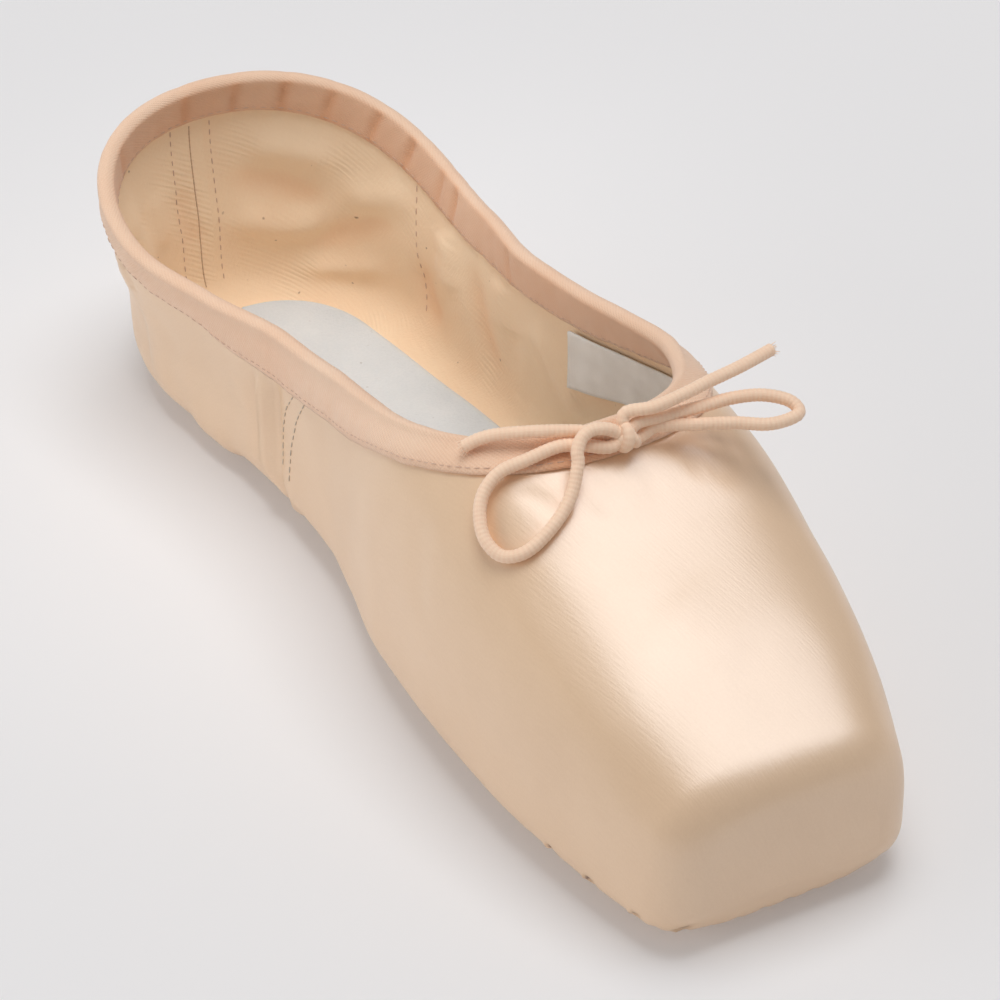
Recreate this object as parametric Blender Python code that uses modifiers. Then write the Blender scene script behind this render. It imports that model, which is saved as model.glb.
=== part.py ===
"""Satin pointe shoe on a straight last: stiff toe box with a flat platform, soft quarters, a drawstring
binding round the collar, a narrow leather sole underneath and a cord bow at the throat.
Metres, +Z up. The toe points along -Y and the shoe stands on z = 0."""

import math
from collections import namedtuple

import bmesh
import bpy
from mathutils import Vector

# The last
SHOE_LENGTH = 0.232
BALL_WIDTH = 0.0784
INSTEP_HEIGHT = 0.0640
HEEL_HEIGHT = 0.0560
THROAT = 0.0732
HEEL_PIVOT = 0.1977
PLATFORM_RADIUS = 0.0070
TOE_ROUNDNESS = 3.0
INSTEP_ROUNDNESS = 2.6
UNDERSIDE_ROUNDNESS = 4.5
HEEL_PLAN_ROUNDNESS = 2.2
FLARE_HEIGHT = 0.050
ARCH_HEIGHT = 0.0020
TOE_SPRING = 0.0010

# The curve of the worn shoe, seen from above: both ends swing to one side
HEEL_SWING = -0.0088
TOE_SWING = -0.0021
SWING_CENTRE = 0.090

# Thicknesses
BOX_WALL = 0.0030
QUARTER_WALL = 0.0015
SOLE_THICKNESS = 0.0018
SOLE_EDGE_LIFT = 0.0006
INSOLE_THICKNESS = 0.0018
GAP = 0.0003
BINDING_GAP = 0.0004

# The sole and the opening in the upper that it closes
SOLE_FRONT = 0.021
SOLE_BACK = 0.224
SOLE_OVERLAP = 0.005
SOLE_END_LENGTH = 0.018
INSOLE_FRONT = 0.012
INSOLE_BACK = 0.2215
INSOLE_END_LENGTH = 0.019

# The binding, a folded tape that holds the drawstring
BINDING_DEPTH = 0.0090
BINDING_INNER_DEPTH = 0.0085
BINDING_THICKNESS = 0.0008
BINDING_ROLL = 0.0016

# The label inside, at the side away from the arch
LABEL_FRONT = 0.0990
LABEL_BACK = 0.1340
LABEL_DROP = 0.0135
LABEL_THICKNESS = 0.0005

# The drawstring bow
CORD_DIAMETER = 0.0025
KNOT_SIZE = (0.0054, 0.0052, 0.0048)

# A row for each section of the last. along is a share of the length from the toe, half_width and flare are
# shares of half the ball width, top and waist are shares of the instep height, and wall is a share of
# the way from the quarter's wall to the box's.
Section = namedtuple("Section", "along half_width top waist flare wall")
SECTIONS = (
    Section(0.000, 0.658, 0.500, 0.165, 0.00, 1.00),
    Section(0.108, 0.852, 0.680, 0.223, 0.00, 1.00),
    Section(0.216, 0.967, 0.828, 0.262, 0.00, 0.80),
    Section(0.316, 1.000, 1.000, 0.316, 0.00, 0.30),
    Section(0.410, 0.977, 1.070, 0.320, 0.00, 0.05),
    Section(0.496, 0.872, 1.120, 0.320, 0.00, 0.00),
    Section(0.560, 0.797, 1.210, 0.320, 0.00, 0.00),
    Section(0.647, 0.765, 1.400, 0.320, 0.00, 0.00),
    Section(0.754, 0.772, 1.270, 0.320, 0.14, 0.00),
    Section(0.852, 0.826, 1.060, 0.320, 0.22, 0.00),
    Section(1.000, 0.834, 1.040, 0.320, 0.15, 0.00),
)

# The height of the upper's edge behind the throat, as a share of the instep height
Edge = namedtuple("Edge", "along height")
COLLAR = (
    Edge(0.410, 0.915),
    Edge(0.520, 0.820),
    Edge(0.625, 0.756),
    Edge(0.819, 0.705),
    Edge(1.000, HEEL_HEIGHT / INSTEP_HEIGHT),
)

# How far the binding reaches down the outside of the shoe, as a share of its depth
Tape = namedtuple("Tape", "along depth")
TAPES = (
    Tape(0.315, 0.82),
    Tape(0.370, 0.74),
    Tape(0.430, 0.76),
    Tape(0.510, 0.98),
    Tape(0.570, 1.08),
    Tape(0.650, 1.20),
    Tape(0.715, 1.18),
    Tape(0.780, 0.92),
    Tape(0.850, 0.90),
    Tape(1.000, 0.94),
)

# How far the underside of the last is raised, as a share of the arch height
Lift = namedtuple("Lift", "along arch")
LIFTS = (
    Lift(0.00, 0.0),
    Lift(0.42, 0.0),
    Lift(0.52, 0.6),
    Lift(0.60, 1.0),
    Lift(0.68, 0.8),
    Lift(0.78, 0.0),
    Lift(1.00, 0.0),
)

# The outlines of the sole and the insole, as shares of half the ball width
Outline = namedtuple("Outline", "along half_width")
SOLE_OUTLINE = (
    Outline(0.09, 0.48),
    Outline(0.19, 0.62),
    Outline(0.31, 0.70),
    Outline(0.45, 0.58),
    Outline(0.58, 0.41),
    Outline(0.70, 0.38),
    Outline(0.83, 0.49),
    Outline(0.93, 0.50),
)
INSOLE_OUTLINE = (
    Outline(0.05, 0.44),
    Outline(0.19, 0.62),
    Outline(0.31, 0.69),
    Outline(0.45, 0.65),
    Outline(0.58, 0.59),
    Outline(0.66, 0.58),
    Outline(0.80, 0.62),
    Outline(0.93, 0.59),
)

# The bow's routes. across and along are metres from the throat's centre, above is the height of the
# cord's underside over the shoe.
Point = namedtuple("Point", "across along above")
LEFT_LOOP = (
    Point(-0.0023, -0.0066, 0.0041),
    Point(-0.0042, -0.0062, 0.0050),
    Point(-0.0057, -0.0055, 0.0046),
    Point(-0.0081, -0.0059, 0.0043),
    Point(-0.0100, -0.0074, 0.0033),
    Point(-0.0106, -0.0090, 0.0019),
    Point(-0.0140, -0.0122, 0.0009),
    Point(-0.0191, -0.0147, 0.0005),
    Point(-0.0248, -0.0154, 0.0005),
    Point(-0.0285, -0.0128, 0.0005),
    Point(-0.0300, -0.0087, 0.0005),
    Point(-0.0289, -0.0046, 0.0005),
    Point(-0.0266, -0.0022, 0.0005),
    Point(-0.0229, -0.0015, 0.0005),
    Point(-0.0179, -0.0027, 0.0005),
    Point(-0.0118, -0.0034, 0.0005),
    Point(-0.0077, -0.0046, 0.0004),
    Point(-0.0031, -0.0078, 0.0006),
)
RIGHT_LOOP = (
    Point(0.0035, -0.0070, 0.0005),
    Point(0.0073, -0.0070, 0.0018),
    Point(0.0139, -0.0101, 0.0055),
    Point(0.0209, -0.0128, 0.0086),
    Point(0.0265, -0.0156, 0.0126),
    Point(0.0315, -0.0161, 0.0176),
    Point(0.0335, -0.0151, 0.0204),
    Point(0.0325, -0.0125, 0.0187),
    Point(0.0282, -0.0098, 0.0136),
    Point(0.0224, -0.0083, 0.0081),
    Point(0.0167, -0.0080, 0.0058),
    Point(0.0106, -0.0071, 0.0039),
    Point(0.0036, -0.0066, 0.0034),
)
LEFT_END = (
    Point(-0.0024, -0.0049, 0.0011),
    Point(-0.0071, -0.0026, 0.0011),
    Point(-0.0138, -0.0001, 0.0019),
    Point(-0.0198, 0.0042, 0.0025),
    Point(-0.0229, 0.0066, 0.0025),
    Point(-0.0254, 0.0079, 0.0024),
)
RIGHT_END = (
    Point(0.0013, -0.0054, 0.0049),
    Point(0.0064, -0.0076, 0.0072),
    Point(0.0125, -0.0075, 0.0084),
    Point(0.0186, -0.0065, 0.0097),
    Point(0.0263, -0.0052, 0.0132),
    Point(0.0342, -0.0033, 0.0218),
)
KNOT = Point(0.0004, -0.0073, 0.0020)


def smooth(rows, name, along):
    """The named column at this distance from the toe, on a smooth curve that keeps between its rows."""
    places = [row.along * SHOE_LENGTH for row in rows]
    values = [getattr(row, name) for row in rows]
    if along <= places[0]:
        return values[0]
    if along >= places[-1]:
        return values[-1]
    rises = [(values[i + 1] - values[i]) / (places[i + 1] - places[i]) for i in range(len(rows) - 1)]
    slopes = [rises[0]]
    for before, after in zip(rises, rises[1:]):
        slopes.append(2 * before * after / (before + after) if before * after > 0 else 0.0)
    slopes.append(rises[-1])
    i = max(k for k in range(len(places) - 1) if places[k] <= along)
    span = places[i + 1] - places[i]
    t = (along - places[i]) / span
    start = (2 * t**3 - 3 * t**2 + 1) * values[i] + (t**3 - 2 * t**2 + t) * span * slopes[i]
    end = (-2 * t**3 + 3 * t**2) * values[i + 1] + (t**3 - t**2) * span * slopes[i + 1]
    return start + end


def half_width(along):
    return smooth(SECTIONS, "half_width", along) * BALL_WIDTH / 2


def top(along):
    return smooth(SECTIONS, "top", along) * INSTEP_HEIGHT


def waist(along):
    return smooth(SECTIONS, "waist", along) * INSTEP_HEIGHT


def flare(along):
    return smooth(SECTIONS, "flare", along) * BALL_WIDTH / 2


def wall(along):
    return QUARTER_WALL + (BOX_WALL - QUARTER_WALL) * smooth(SECTIONS, "wall", along)


def underside(along):
    """The lowest point of the last's section: the arch and the toe spring raise it."""
    spring = TOE_SPRING * max(0.0, 1 - along / 0.040) ** 2
    return ARCH_HEIGHT * smooth(LIFTS, "arch", along) + spring


def roundness(along):
    return TOE_ROUNDNESS + (INSTEP_ROUNDNESS - TOE_ROUNDNESS) * min(1.0, along / THROAT)


def edge_height(along):
    """The height of the upper's edge. It starts on the crest of the last, at the throat."""
    rows = (Edge(THROAT / SHOE_LENGTH, top(THROAT) / INSTEP_HEIGHT),) + COLLAR
    return smooth(rows, "height", along) * INSTEP_HEIGHT


def widening(height, along, amount):
    """How far the collar flares outwards at this height."""
    low = waist(along)
    return amount * max(0.0, (height - low) / (FLARE_HEIGHT - low)) ** 1.5


def heel_radius(angle):
    """The distance from the heel's pivot to its widest line, in plan. An angle of 0 points to the side."""
    power = HEEL_PLAN_ROUNDNESS
    side = abs(math.cos(angle)) / half_width(HEEL_PIVOT)
    back = abs(math.sin(angle)) / (SHOE_LENGTH - HEEL_PIVOT)
    return (side**power + back**power) ** (-1 / power)


def heel_flare(angle):
    side = flare(HEEL_PIVOT)
    return side + (flare(SHOE_LENGTH) - side) * math.sin(angle) ** 2


def section_point(width, low, middle, high, power, turn):
    """A point of a section, as distance outwards and height. turn runs from -90 degrees underneath to 90 on top."""
    if turn < 0:
        share = 2 / UNDERSIDE_ROUNDNESS
        return width * math.cos(turn) ** share, middle - (middle - low) * (-math.sin(turn)) ** share
    share = 2 / power
    return width * max(0.0, math.cos(turn)) ** share, middle + (high - middle) * math.sin(turn) ** share


def turn_at_height(height, middle, high, power):
    share = min(1.0, max(0.0, (height - middle) / (high - middle)))
    return math.asin(min(1.0, share ** (power / 2)))


def turn_at_reach(reach, width):
    """The turn underneath where the section is this far out."""
    return -math.acos(min(1.0, (max(0.0, reach) / width) ** (UNDERSIDE_ROUNDNESS / 2)))


def turns(first, last):
    """The turns of a half section's points, from underneath up to the collar or the crest."""
    below = [first * (1 - i / UNDER_STEPS) for i in range(UNDER_STEPS)]
    above = [last * i / SIDE_STEPS for i in range(SIDE_STEPS + 1)]
    return below + above


UNDER_STEPS = 6
SIDE_STEPS = 8


def outline(rows, front, back, end_length, inset, along):
    """Half the width of a sole piece, with round ends."""
    if along <= front or along >= back:
        return 0.0
    full = smooth(rows, "half_width", along) * BALL_WIDTH / 2 - inset
    for distance in (along - front, back - along):
        if distance < end_length:
            full *= (1 - (1 - distance / end_length) ** 2.4) ** (1 / 2.4)
    return full


def opening(along):
    """Half the width of the opening underneath, which the sole closes."""
    front = SOLE_FRONT + SOLE_OVERLAP
    back = SOLE_BACK - SOLE_OVERLAP
    return outline(SOLE_OUTLINE, front, back, SOLE_END_LENGTH - SOLE_OVERLAP, SOLE_OVERLAP, along)


def heel_opening(angle):
    """How far the opening reaches from the heel's pivot along this direction."""
    near = 0.0
    far = SHOE_LENGTH - HEEL_PIVOT
    for _ in range(40):
        reach = (near + far) / 2
        if reach * math.cos(angle) < opening(HEEL_PIVOT + reach * math.sin(angle)):
            near = reach
        else:
            far = reach
    return near


def outer_height(across, along):
    """The height of the upper's underside at this place."""
    low = underside(along)
    middle = waist(along)
    if along <= HEEL_PIVOT:
        share = abs(across) / half_width(along)
    else:
        angle = math.atan2(along - HEEL_PIVOT, abs(across))
        share = math.hypot(across, along - HEEL_PIVOT) / heel_radius(angle)
    rise = 1 - min(1.0, share) ** UNDERSIDE_ROUNDNESS
    return middle - (middle - low) * rise ** (1 / UNDERSIDE_ROUNDNESS)


def swing(along):
    """How far the shoe's curve moves a section sideways."""
    if along > SWING_CENTRE:
        return HEEL_SWING * ((along - SWING_CENTRE) / (SHOE_LENGTH - SWING_CENTRE)) ** 2
    return TOE_SWING * ((SWING_CENTRE - along) / SWING_CENTRE) ** 2


def place(across, along, height):
    """A point of the straight last, moved to where it is on the curved shoe."""
    return Vector((across + swing(along), along - SHOE_LENGTH / 2, height + SOLE_THICKNESS + GAP))


def straight(across, along, height):
    return Vector((across, along, height))


def level(point):
    """Below 0 inside the last's surface and above 0 outside it, over the waist. Straight coordinates."""
    along = point.y
    middle = waist(along)
    if along <= HEEL_PIVOT:
        out = abs(point.x) - widening(point.z, along, flare(along))
        width = half_width(along)
    else:
        angle = math.atan2(along - HEEL_PIVOT, abs(point.x))
        out = math.hypot(point.x, along - HEEL_PIVOT) - widening(point.z, along, heel_flare(angle))
        width = heel_radius(angle)
    high = top(min(along, HEEL_PIVOT)) if along > HEEL_PIVOT else top(along)
    power = roundness(along)
    across = max(0.0, out / width) ** power
    upwards = max(0.0, (point.z - middle) / (high - middle)) ** power
    return across + upwards - 1


def slope(point):
    step = 0.0001
    parts = []
    for axis in range(3):
        shift = Vector((0, 0, 0))
        shift[axis] = step
        parts.append((level(point + shift) - level(point - shift)) / (2 * step))
    return Vector(parts)


def onto_last(point):
    """The point moved onto the last's surface, and the surface's outward direction there."""
    point = point.copy()
    for _ in range(8):
        direction = slope(point)
        point -= direction * (level(point) / direction.length_squared)
    return point, slope(point).normalized()


def last_section(along, heel_angle, inset, last_turn):
    """Half a section of the last, as points in straight coordinates, from underneath up to the collar."""
    if heel_angle is None:
        width = half_width(along) - inset
        low = underside(along) + inset
        middle = waist(along)
        high = top(along) - inset
        power = roundness(along)
        first = turn_at_reach(opening(along), width)
        points = []
        for turn in turns(first, last_turn(along, middle, high, power)):
            out, height = section_point(width, low, middle, high, power, turn)
            points.append(straight(out + widening(height, along, flare(along)), along, height))
        return points
    width = heel_radius(heel_angle)
    middle = waist(SHOE_LENGTH)
    high = top(HEEL_PIVOT)
    first = turn_at_reach(heel_opening(heel_angle), width)
    rim = HEEL_PIVOT + (SHOE_LENGTH - HEEL_PIVOT) * math.sin(heel_angle)
    points = []
    for turn in turns(first, last_turn(rim, middle, high, INSTEP_ROUNDNESS)):
        out, height = section_point(width, 0.0, middle, high, INSTEP_ROUNDNESS, turn)
        out += widening(height, SHOE_LENGTH, heel_flare(heel_angle))
        points.append(straight(out * math.cos(heel_angle), HEEL_PIVOT + out * math.sin(heel_angle), height))
    return points


def to_collar(along, middle, high, power):
    """The turn at which a section ends: the crest in front of the throat, the upper's edge behind it."""
    if along <= THROAT:
        return math.pi / 2
    return turn_at_height(edge_height(along), middle, high, power)


def upper_stations():
    """Where the upper's sections stand, as distance from the toe, heel angle and how far they are drawn in."""
    stations = []
    for i in range(5):
        turn = math.pi / 2 * (i / 5)
        radius = PLATFORM_RADIUS
        stations.append((radius * (1 - math.cos(turn)), None, radius * (1 - math.sin(turn))))
    box = [0.007, 0.011, 0.016, 0.021, 0.026, 0.0272, 0.0298, 0.034, 0.040, 0.046, 0.052, 0.058, 0.0635, 0.0685]
    throat = [THROAT + step for step in (0.0, 0.0001, 0.0004, 0.0009, 0.0018, 0.0032, 0.0052, 0.008, 0.0115, 0.016)]
    quarters = [0.0950, 0.102, 0.110, 0.118, 0.126, 0.134, 0.143, 0.152, 0.161, 0.170, 0.178, 0.185, 0.191]
    stations += [(along, None, 0.0) for along in box + throat + quarters + [HEEL_PIVOT]]
    stations += [(None, math.pi / 2 * (i / 13), 0.0) for i in range(1, 14)]
    return stations


def finished(name, bm, material, smooth_faces=True):
    bmesh.ops.remove_doubles(bm, verts=bm.verts, dist=0.00001)
    bmesh.ops.recalc_face_normals(bm, faces=bm.faces)
    for face in bm.faces:
        face.smooth = smooth_faces
    mesh = bpy.data.meshes.new(name)
    bm.to_mesh(mesh)
    bm.free()
    return finished_object(name, mesh, material)


def finished_object(name, data, material):
    obj = bpy.data.objects.new(name, data)
    obj.data.materials.append(material)
    parts.objects.link(obj)
    return obj


def make_upper(material):
    """The satin, canvas and stiffened box as one shell: the outer surface, thickened inwards."""
    bm = bmesh.new()
    sides = []
    for side in (-1, 1):
        columns = []
        for along, angle, inset in upper_stations():
            points = last_section(along, angle, inset, to_collar)
            columns.append([bm.verts.new(place(side * p.x, p.y, p.z)) for p in points])
        for before, after in zip(columns, columns[1:]):
            for i in range(len(before) - 1):
                corners = (before[i], before[i + 1], after[i + 1], after[i])
                bm.faces.new(corners if side > 0 else reversed(corners))
        sides.append(columns)
    platform = sides[0][0] + list(reversed(sides[1][0]))[1:-1]
    bm.faces.new([v for v in platform])
    bmesh.ops.remove_doubles(bm, verts=bm.verts, dist=0.00001)
    bmesh.ops.dissolve_degenerate(bm, edges=bm.edges, dist=0.00001)
    bmesh.ops.recalc_face_normals(bm, faces=bm.faces)
    front = min(bm.faces, key=lambda face: face.calc_center_median().y)
    if front.normal.y > 0:
        bmesh.ops.reverse_faces(bm, faces=bm.faces)
    for face in bm.faces:
        face.smooth = True
    mesh = bpy.data.meshes.new("upper")
    bm.to_mesh(mesh)
    bm.free()
    obj = finished_object("upper", mesh, material)
    group = obj.vertex_groups.new(name="wall")
    for vertex in mesh.vertices:
        group.add([vertex.index], wall(vertex.co.y + SHOE_LENGTH / 2) / BOX_WALL, "REPLACE")
    shell = obj.modifiers.new("wall", "SOLIDIFY")
    shell.thickness = BOX_WALL
    shell.offset = -1
    shell.use_quality_normals = True
    shell.vertex_group = "wall"
    return obj


def edge_half():
    """Half of the upper's edge, from the throat's centre to the heel's, in straight coordinates."""
    points = [straight(0.0, THROAT, top(THROAT))]
    steps = [0.0001 * 1.35**i for i in range(24)]
    alongs = [THROAT + step for step in steps if THROAT + step < 0.115]
    alongs += [0.115 + (HEEL_PIVOT - 0.115) * i / 24 for i in range(25)]
    for along in alongs:
        middle, high, power = waist(along), top(along), roundness(along)
        turn = to_collar(along, middle, high, power)
        out, height = section_point(half_width(along), 0.0, middle, high, power, turn)
        points.append(straight(out + widening(height, along, flare(along)), along, height))
    for i in range(1, 19):
        points.append(last_section(None, math.pi / 2 * (i / 18), 0.0, to_collar)[-1])
    return points


def evenly(points, spacing):
    """Points at about this spacing along a run of points, ends kept."""
    lengths = [0.0]
    for a, b in zip(points, points[1:]):
        lengths.append(lengths[-1] + (b - a).length)
    count = max(2, round(lengths[-1] / spacing))
    found = []
    k = 0
    for i in range(count + 1):
        target = lengths[-1] * i / count
        while k < len(points) - 2 and lengths[k + 1] < target:
            k += 1
        share = (target - lengths[k]) / (lengths[k + 1] - lengths[k])
        found.append(points[k].lerp(points[k + 1], min(1.0, max(0.0, share))))
    return found


def edge_loop(spacing):
    """The whole edge as a loop: up one side from the throat to the heel and back along the other."""
    half = evenly(edge_half(), spacing)
    other = [straight(-p.x, p.y, p.z) for p in reversed(half[1:-1])]
    return half + other


def make_binding(material):
    """A tape folded over the upper's edge, the same way round the whole collar."""
    loop = edge_loop(0.0068)
    bm = bmesh.new()
    rings = []
    for i, edge in enumerate(loop):
        ahead = loop[(i + 1) % len(loop)] - loop[i - 1]
        edge, normal = onto_last(edge)
        tangent = (ahead - normal * ahead.dot(normal)).normalized()
        away = tangent.cross(normal)
        thick = wall(edge.y)
        deep = smooth(TAPES, "depth", edge.y) * BINDING_DEPTH
        ring = []

        def leg(distance, depth):
            """A point on the tape down the shoe: a depth under 0 counts from the lining."""
            point, outwards = onto_last(edge + away * distance)
            ring.append(point + outwards * (depth if depth > 0 else depth - wall(point.y)))

        def fold(depth, height):
            ring.append(edge + normal * depth - away * height)

        outside = BINDING_GAP + BINDING_THICKNESS
        inside = -thick - BINDING_GAP - BINDING_THICKNESS
        leg(deep, outside * 0.7)
        leg(deep * 0.9, outside)
        leg(deep * 0.45, outside)
        fold(outside, 0.0)
        fold(outside * 0.6 - thick * 0.1, BINDING_ROLL * 0.8)
        fold(-thick / 2, BINDING_ROLL)
        fold(inside * 0.8 - thick * 0.1, BINDING_ROLL * 0.8)
        fold(inside, BINDING_GAP)
        leg(BINDING_INNER_DEPTH * 0.5, -BINDING_GAP - BINDING_THICKNESS)
        leg(BINDING_INNER_DEPTH, -BINDING_GAP - BINDING_THICKNESS)
        leg(BINDING_INNER_DEPTH, -BINDING_GAP)
        leg(BINDING_INNER_DEPTH * 0.5, -BINDING_GAP)
        fold(-thick - BINDING_GAP, BINDING_GAP * 1.4)
        fold(-thick / 2, BINDING_GAP * 1.8)
        fold(BINDING_GAP, 0.0)
        leg(deep * 0.45, BINDING_GAP)
        leg(deep, BINDING_GAP)
        rings.append([bm.verts.new(place(p.x, p.y, p.z)) for p in ring])
    for i, ring in enumerate(rings):
        after = rings[(i + 1) % len(rings)]
        for k in range(len(ring)):
            n = (k + 1) % len(ring)
            bm.faces.new((ring[k], ring[n], after[n], after[k]))
    return finished("binding", bm, material)


def sheet_stations(front, back, end_length):
    """Distances from the toe for a sole piece's cross rows, close together at its round ends."""
    ends = [end_length * (1 - math.cos(math.radians(turn))) for turn in (9, 20, 33, 48, 68)]
    count = 14
    start, stop = front + end_length, back - end_length
    middle = [start + (stop - start) * i / count for i in range(count + 1)]
    return [front + e for e in ends] + middle + [back - e for e in reversed(ends)]


def make_sheet(name, material, stations, half, lower, upper):
    """A closed sheet between two height functions of across share and along."""
    shares = (-1.0, -0.86, -0.45, 0.0, 0.45, 0.86, 1.0)
    bm = bmesh.new()
    layers = []
    for height in (lower, upper):
        rows = []
        for along in stations:
            row = [bm.verts.new(place(share * half(along), along, height(share, along))) for share in shares]
            rows.append(row)
        layers.append(rows)
    for layer, rows in enumerate(layers):
        for before, after in zip(rows, rows[1:]):
            for i in range(len(shares) - 1):
                corners = (before[i], before[i + 1], after[i + 1], after[i])
                bm.faces.new(corners if layer else reversed(corners))
    below, above = layers
    border = [row[-1] for row in below[:-1]] + list(reversed(below[-1])) + [row[0] for row in below[-2::-1]]
    over = [row[-1] for row in above[:-1]] + list(reversed(above[-1])) + [row[0] for row in above[-2::-1]]
    border += below[0][1:-1]
    over += above[0][1:-1]
    for i in range(len(border)):
        n = (i + 1) % len(border)
        bm.faces.new((border[i], border[n], over[n], over[i]))
    return finished(name, bm, material)


def make_outsole(material):
    """The leather sole under the opening: flat under the heel and the forefoot, raised at the arch."""

    def half(along):
        return outline(SOLE_OUTLINE, SOLE_FRONT, SOLE_BACK, SOLE_END_LENGTH, 0.0, along)

    def lower(share, along):
        skived = SOLE_EDGE_LIFT if abs(share) == 1.0 else 0.0
        return underside(along) - SOLE_THICKNESS - GAP + skived

    def upper(share, along):
        return outer_height(share * half(along), along) - GAP

    return make_sheet("outsole", material, sheet_stations(SOLE_FRONT, SOLE_BACK, SOLE_END_LENGTH), half, lower, upper)


def make_insole(material):
    """The suede faced board inside, cupped like the floor it lies on."""

    def half(along):
        return outline(INSOLE_OUTLINE, INSOLE_FRONT, INSOLE_BACK, INSOLE_END_LENGTH, 0.0, along)

    def lower(share, along):
        return outer_height(share * half(along), along) + wall(along) * 1.03 + GAP

    def upper(share, along):
        worn = 0.3 if abs(share) == 1.0 else 0.0
        return lower(share, along) + INSOLE_THICKNESS * (1 - worn)

    stations = sheet_stations(INSOLE_FRONT, INSOLE_BACK, INSOLE_END_LENGTH)
    return make_sheet("insole", material, stations, half, lower, upper)


def make_label(material):
    """The blank woven label, flat on the lining just below the binding."""
    bm = bmesh.new()
    columns = 7
    rows = 5
    layers = []
    for depth in (0.0, LABEL_THICKNESS):
        grid = []
        for i in range(columns):
            along = LABEL_FRONT + (LABEL_BACK - LABEL_FRONT) * i / (columns - 1)
            line = []
            for k in range(rows):
                drop = BINDING_INNER_DEPTH + 0.0010 + LABEL_DROP * k / (rows - 1)
                height = edge_height(along) - drop
                start = straight(half_width(along), along, height)
                point, outwards = onto_last(start)
                point = point - outwards * (wall(along) + GAP + depth)
                line.append(bm.verts.new(place(point.x, point.y, point.z)))
            grid.append(line)
        layers.append(grid)
    for layer, grid in enumerate(layers):
        for i in range(columns - 1):
            for k in range(rows - 1):
                corners = (grid[i][k], grid[i][k + 1], grid[i + 1][k + 1], grid[i + 1][k])
                bm.faces.new(corners if layer else reversed(corners))
    under, over = layers

    def rim(grid):
        return (
            [grid[i][0] for i in range(columns - 1)]
            + grid[-1][:-1]
            + [grid[i][-1] for i in range(columns - 1, 0, -1)]
            + [grid[0][k] for k in range(rows - 1, 0, -1)]
        )

    first, second = rim(under), rim(over)
    for i in range(len(first)):
        n = (i + 1) % len(first)
        bm.faces.new((first[i], first[n], second[n], second[i]))
    return finished("label", bm, material)


def shoe_top(across, along):
    """The height of the last's surface over this place near the throat."""
    width = half_width(along)
    middle, high, power = waist(along), top(along), roundness(along)
    share = min(0.999, abs(across) / width)
    return middle + (high - middle) * (1 - share**power) ** (1 / power)


def perch(point):
    """Where the middle of a cord is, at one of the bow's points."""
    along = THROAT + point.along
    over_binding = 0.0 if point.along < -BINDING_DEPTH else BINDING_GAP + BINDING_THICKNESS
    height = shoe_top(point.across, min(along, THROAT)) + over_binding + point.above + CORD_DIAMETER / 2
    return place(point.across, along, height)


def route(points):
    """A smooth run through the chosen points of a bow's cord, as points about two diameters apart."""
    chosen = [perch(point) for point in points]
    fine = []
    for i in range(len(chosen) - 1):
        before = chosen[max(0, i - 1)]
        after = chosen[min(len(chosen) - 1, i + 2)]
        a, b = chosen[i], chosen[i + 1]
        for k in range(12):
            t = k / 12
            fine.append(
                0.5
                * (
                    2 * a
                    + (b - before) * t
                    + (2 * before - 5 * a + 4 * b - after) * t * t
                    + (3 * a - before - 3 * b + after) * t**3
                )
            )
    fine.append(chosen[-1])
    return evenly(fine, 2 * CORD_DIAMETER)


def make_cord(name, points, material):
    curve = bpy.data.curves.new(name, "CURVE")
    curve.dimensions = "3D"
    curve.bevel_depth = CORD_DIAMETER / 2
    curve.bevel_resolution = 2
    curve.use_fill_caps = True
    places = route(points)
    spline = curve.splines.new("POLY")
    spline.points.add(len(places) - 1)
    for point, spot in zip(spline.points, places):
        point.co = (*spot, 1.0)
    return finished_object(name, curve, material)


def make_knot(material):
    """The tight knot of the bow, a small rounded block against the binding at the throat."""
    bm = bmesh.new()
    bmesh.ops.create_uvsphere(bm, u_segments=16, v_segments=10, radius=0.5)
    centre = perch(KNOT)
    for vertex in bm.verts:
        size = Vector(KNOT_SIZE)
        vertex.co = centre + Vector(vertex.co[i] * size[i] for i in range(3))
    return finished("bow_knot", bm, material)


def centre_all(objects, measured):
    """Moves every mesh and curve so that the measured ones stand centred over the origin."""
    bpy.context.view_layer.update()
    low = Vector((1.0, 1.0, 1.0))
    high = -low
    for obj in measured:
        for corner in obj.evaluated_get(bpy.context.evaluated_depsgraph_get()).bound_box:
            low = Vector(map(min, low, corner))
            high = Vector(map(max, high, corner))
    shift = Vector((-(low.x + high.x) / 2, -(low.y + high.y) / 2, -low.z))
    for obj in objects:
        if obj.type == "MESH":
            for vertex in obj.data.vertices:
                vertex.co += shift
        else:
            for point in obj.data.splines[0].points:
                point.co.xyz += shift


def material_of(name, color, roughness, sheen=0.0):
    material = bpy.data.materials.new(name)
    material.use_nodes = True
    shader = material.node_tree.nodes["Principled BSDF"]
    shader.inputs["Base Color"].default_value = (*color, 1.0)
    shader.inputs["Roughness"].default_value = roughness
    shader.inputs["Sheen Weight"].default_value = sheen
    material.diffuse_color = (*color, 1.0)
    return material


for old in list(bpy.data.objects):
    bpy.data.objects.remove(old, do_unlink=True)

parts = bpy.data.collections.new("pointe_shoe")
bpy.context.scene.collection.children.link(parts)

satin = material_of("satin", (0.82, 0.62, 0.50), 0.35, 0.3)
tape = material_of("tape", (0.84, 0.60, 0.49), 0.75)
sole_leather = material_of("sole_leather", (0.55, 0.40, 0.28), 0.70)
insole_board = material_of("insole_board", (0.60, 0.60, 0.57), 0.90)
label_cloth = material_of("label_cloth", (0.80, 0.78, 0.74), 0.80)
cord = material_of("cord", (0.86, 0.68, 0.55), 0.60)

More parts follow.
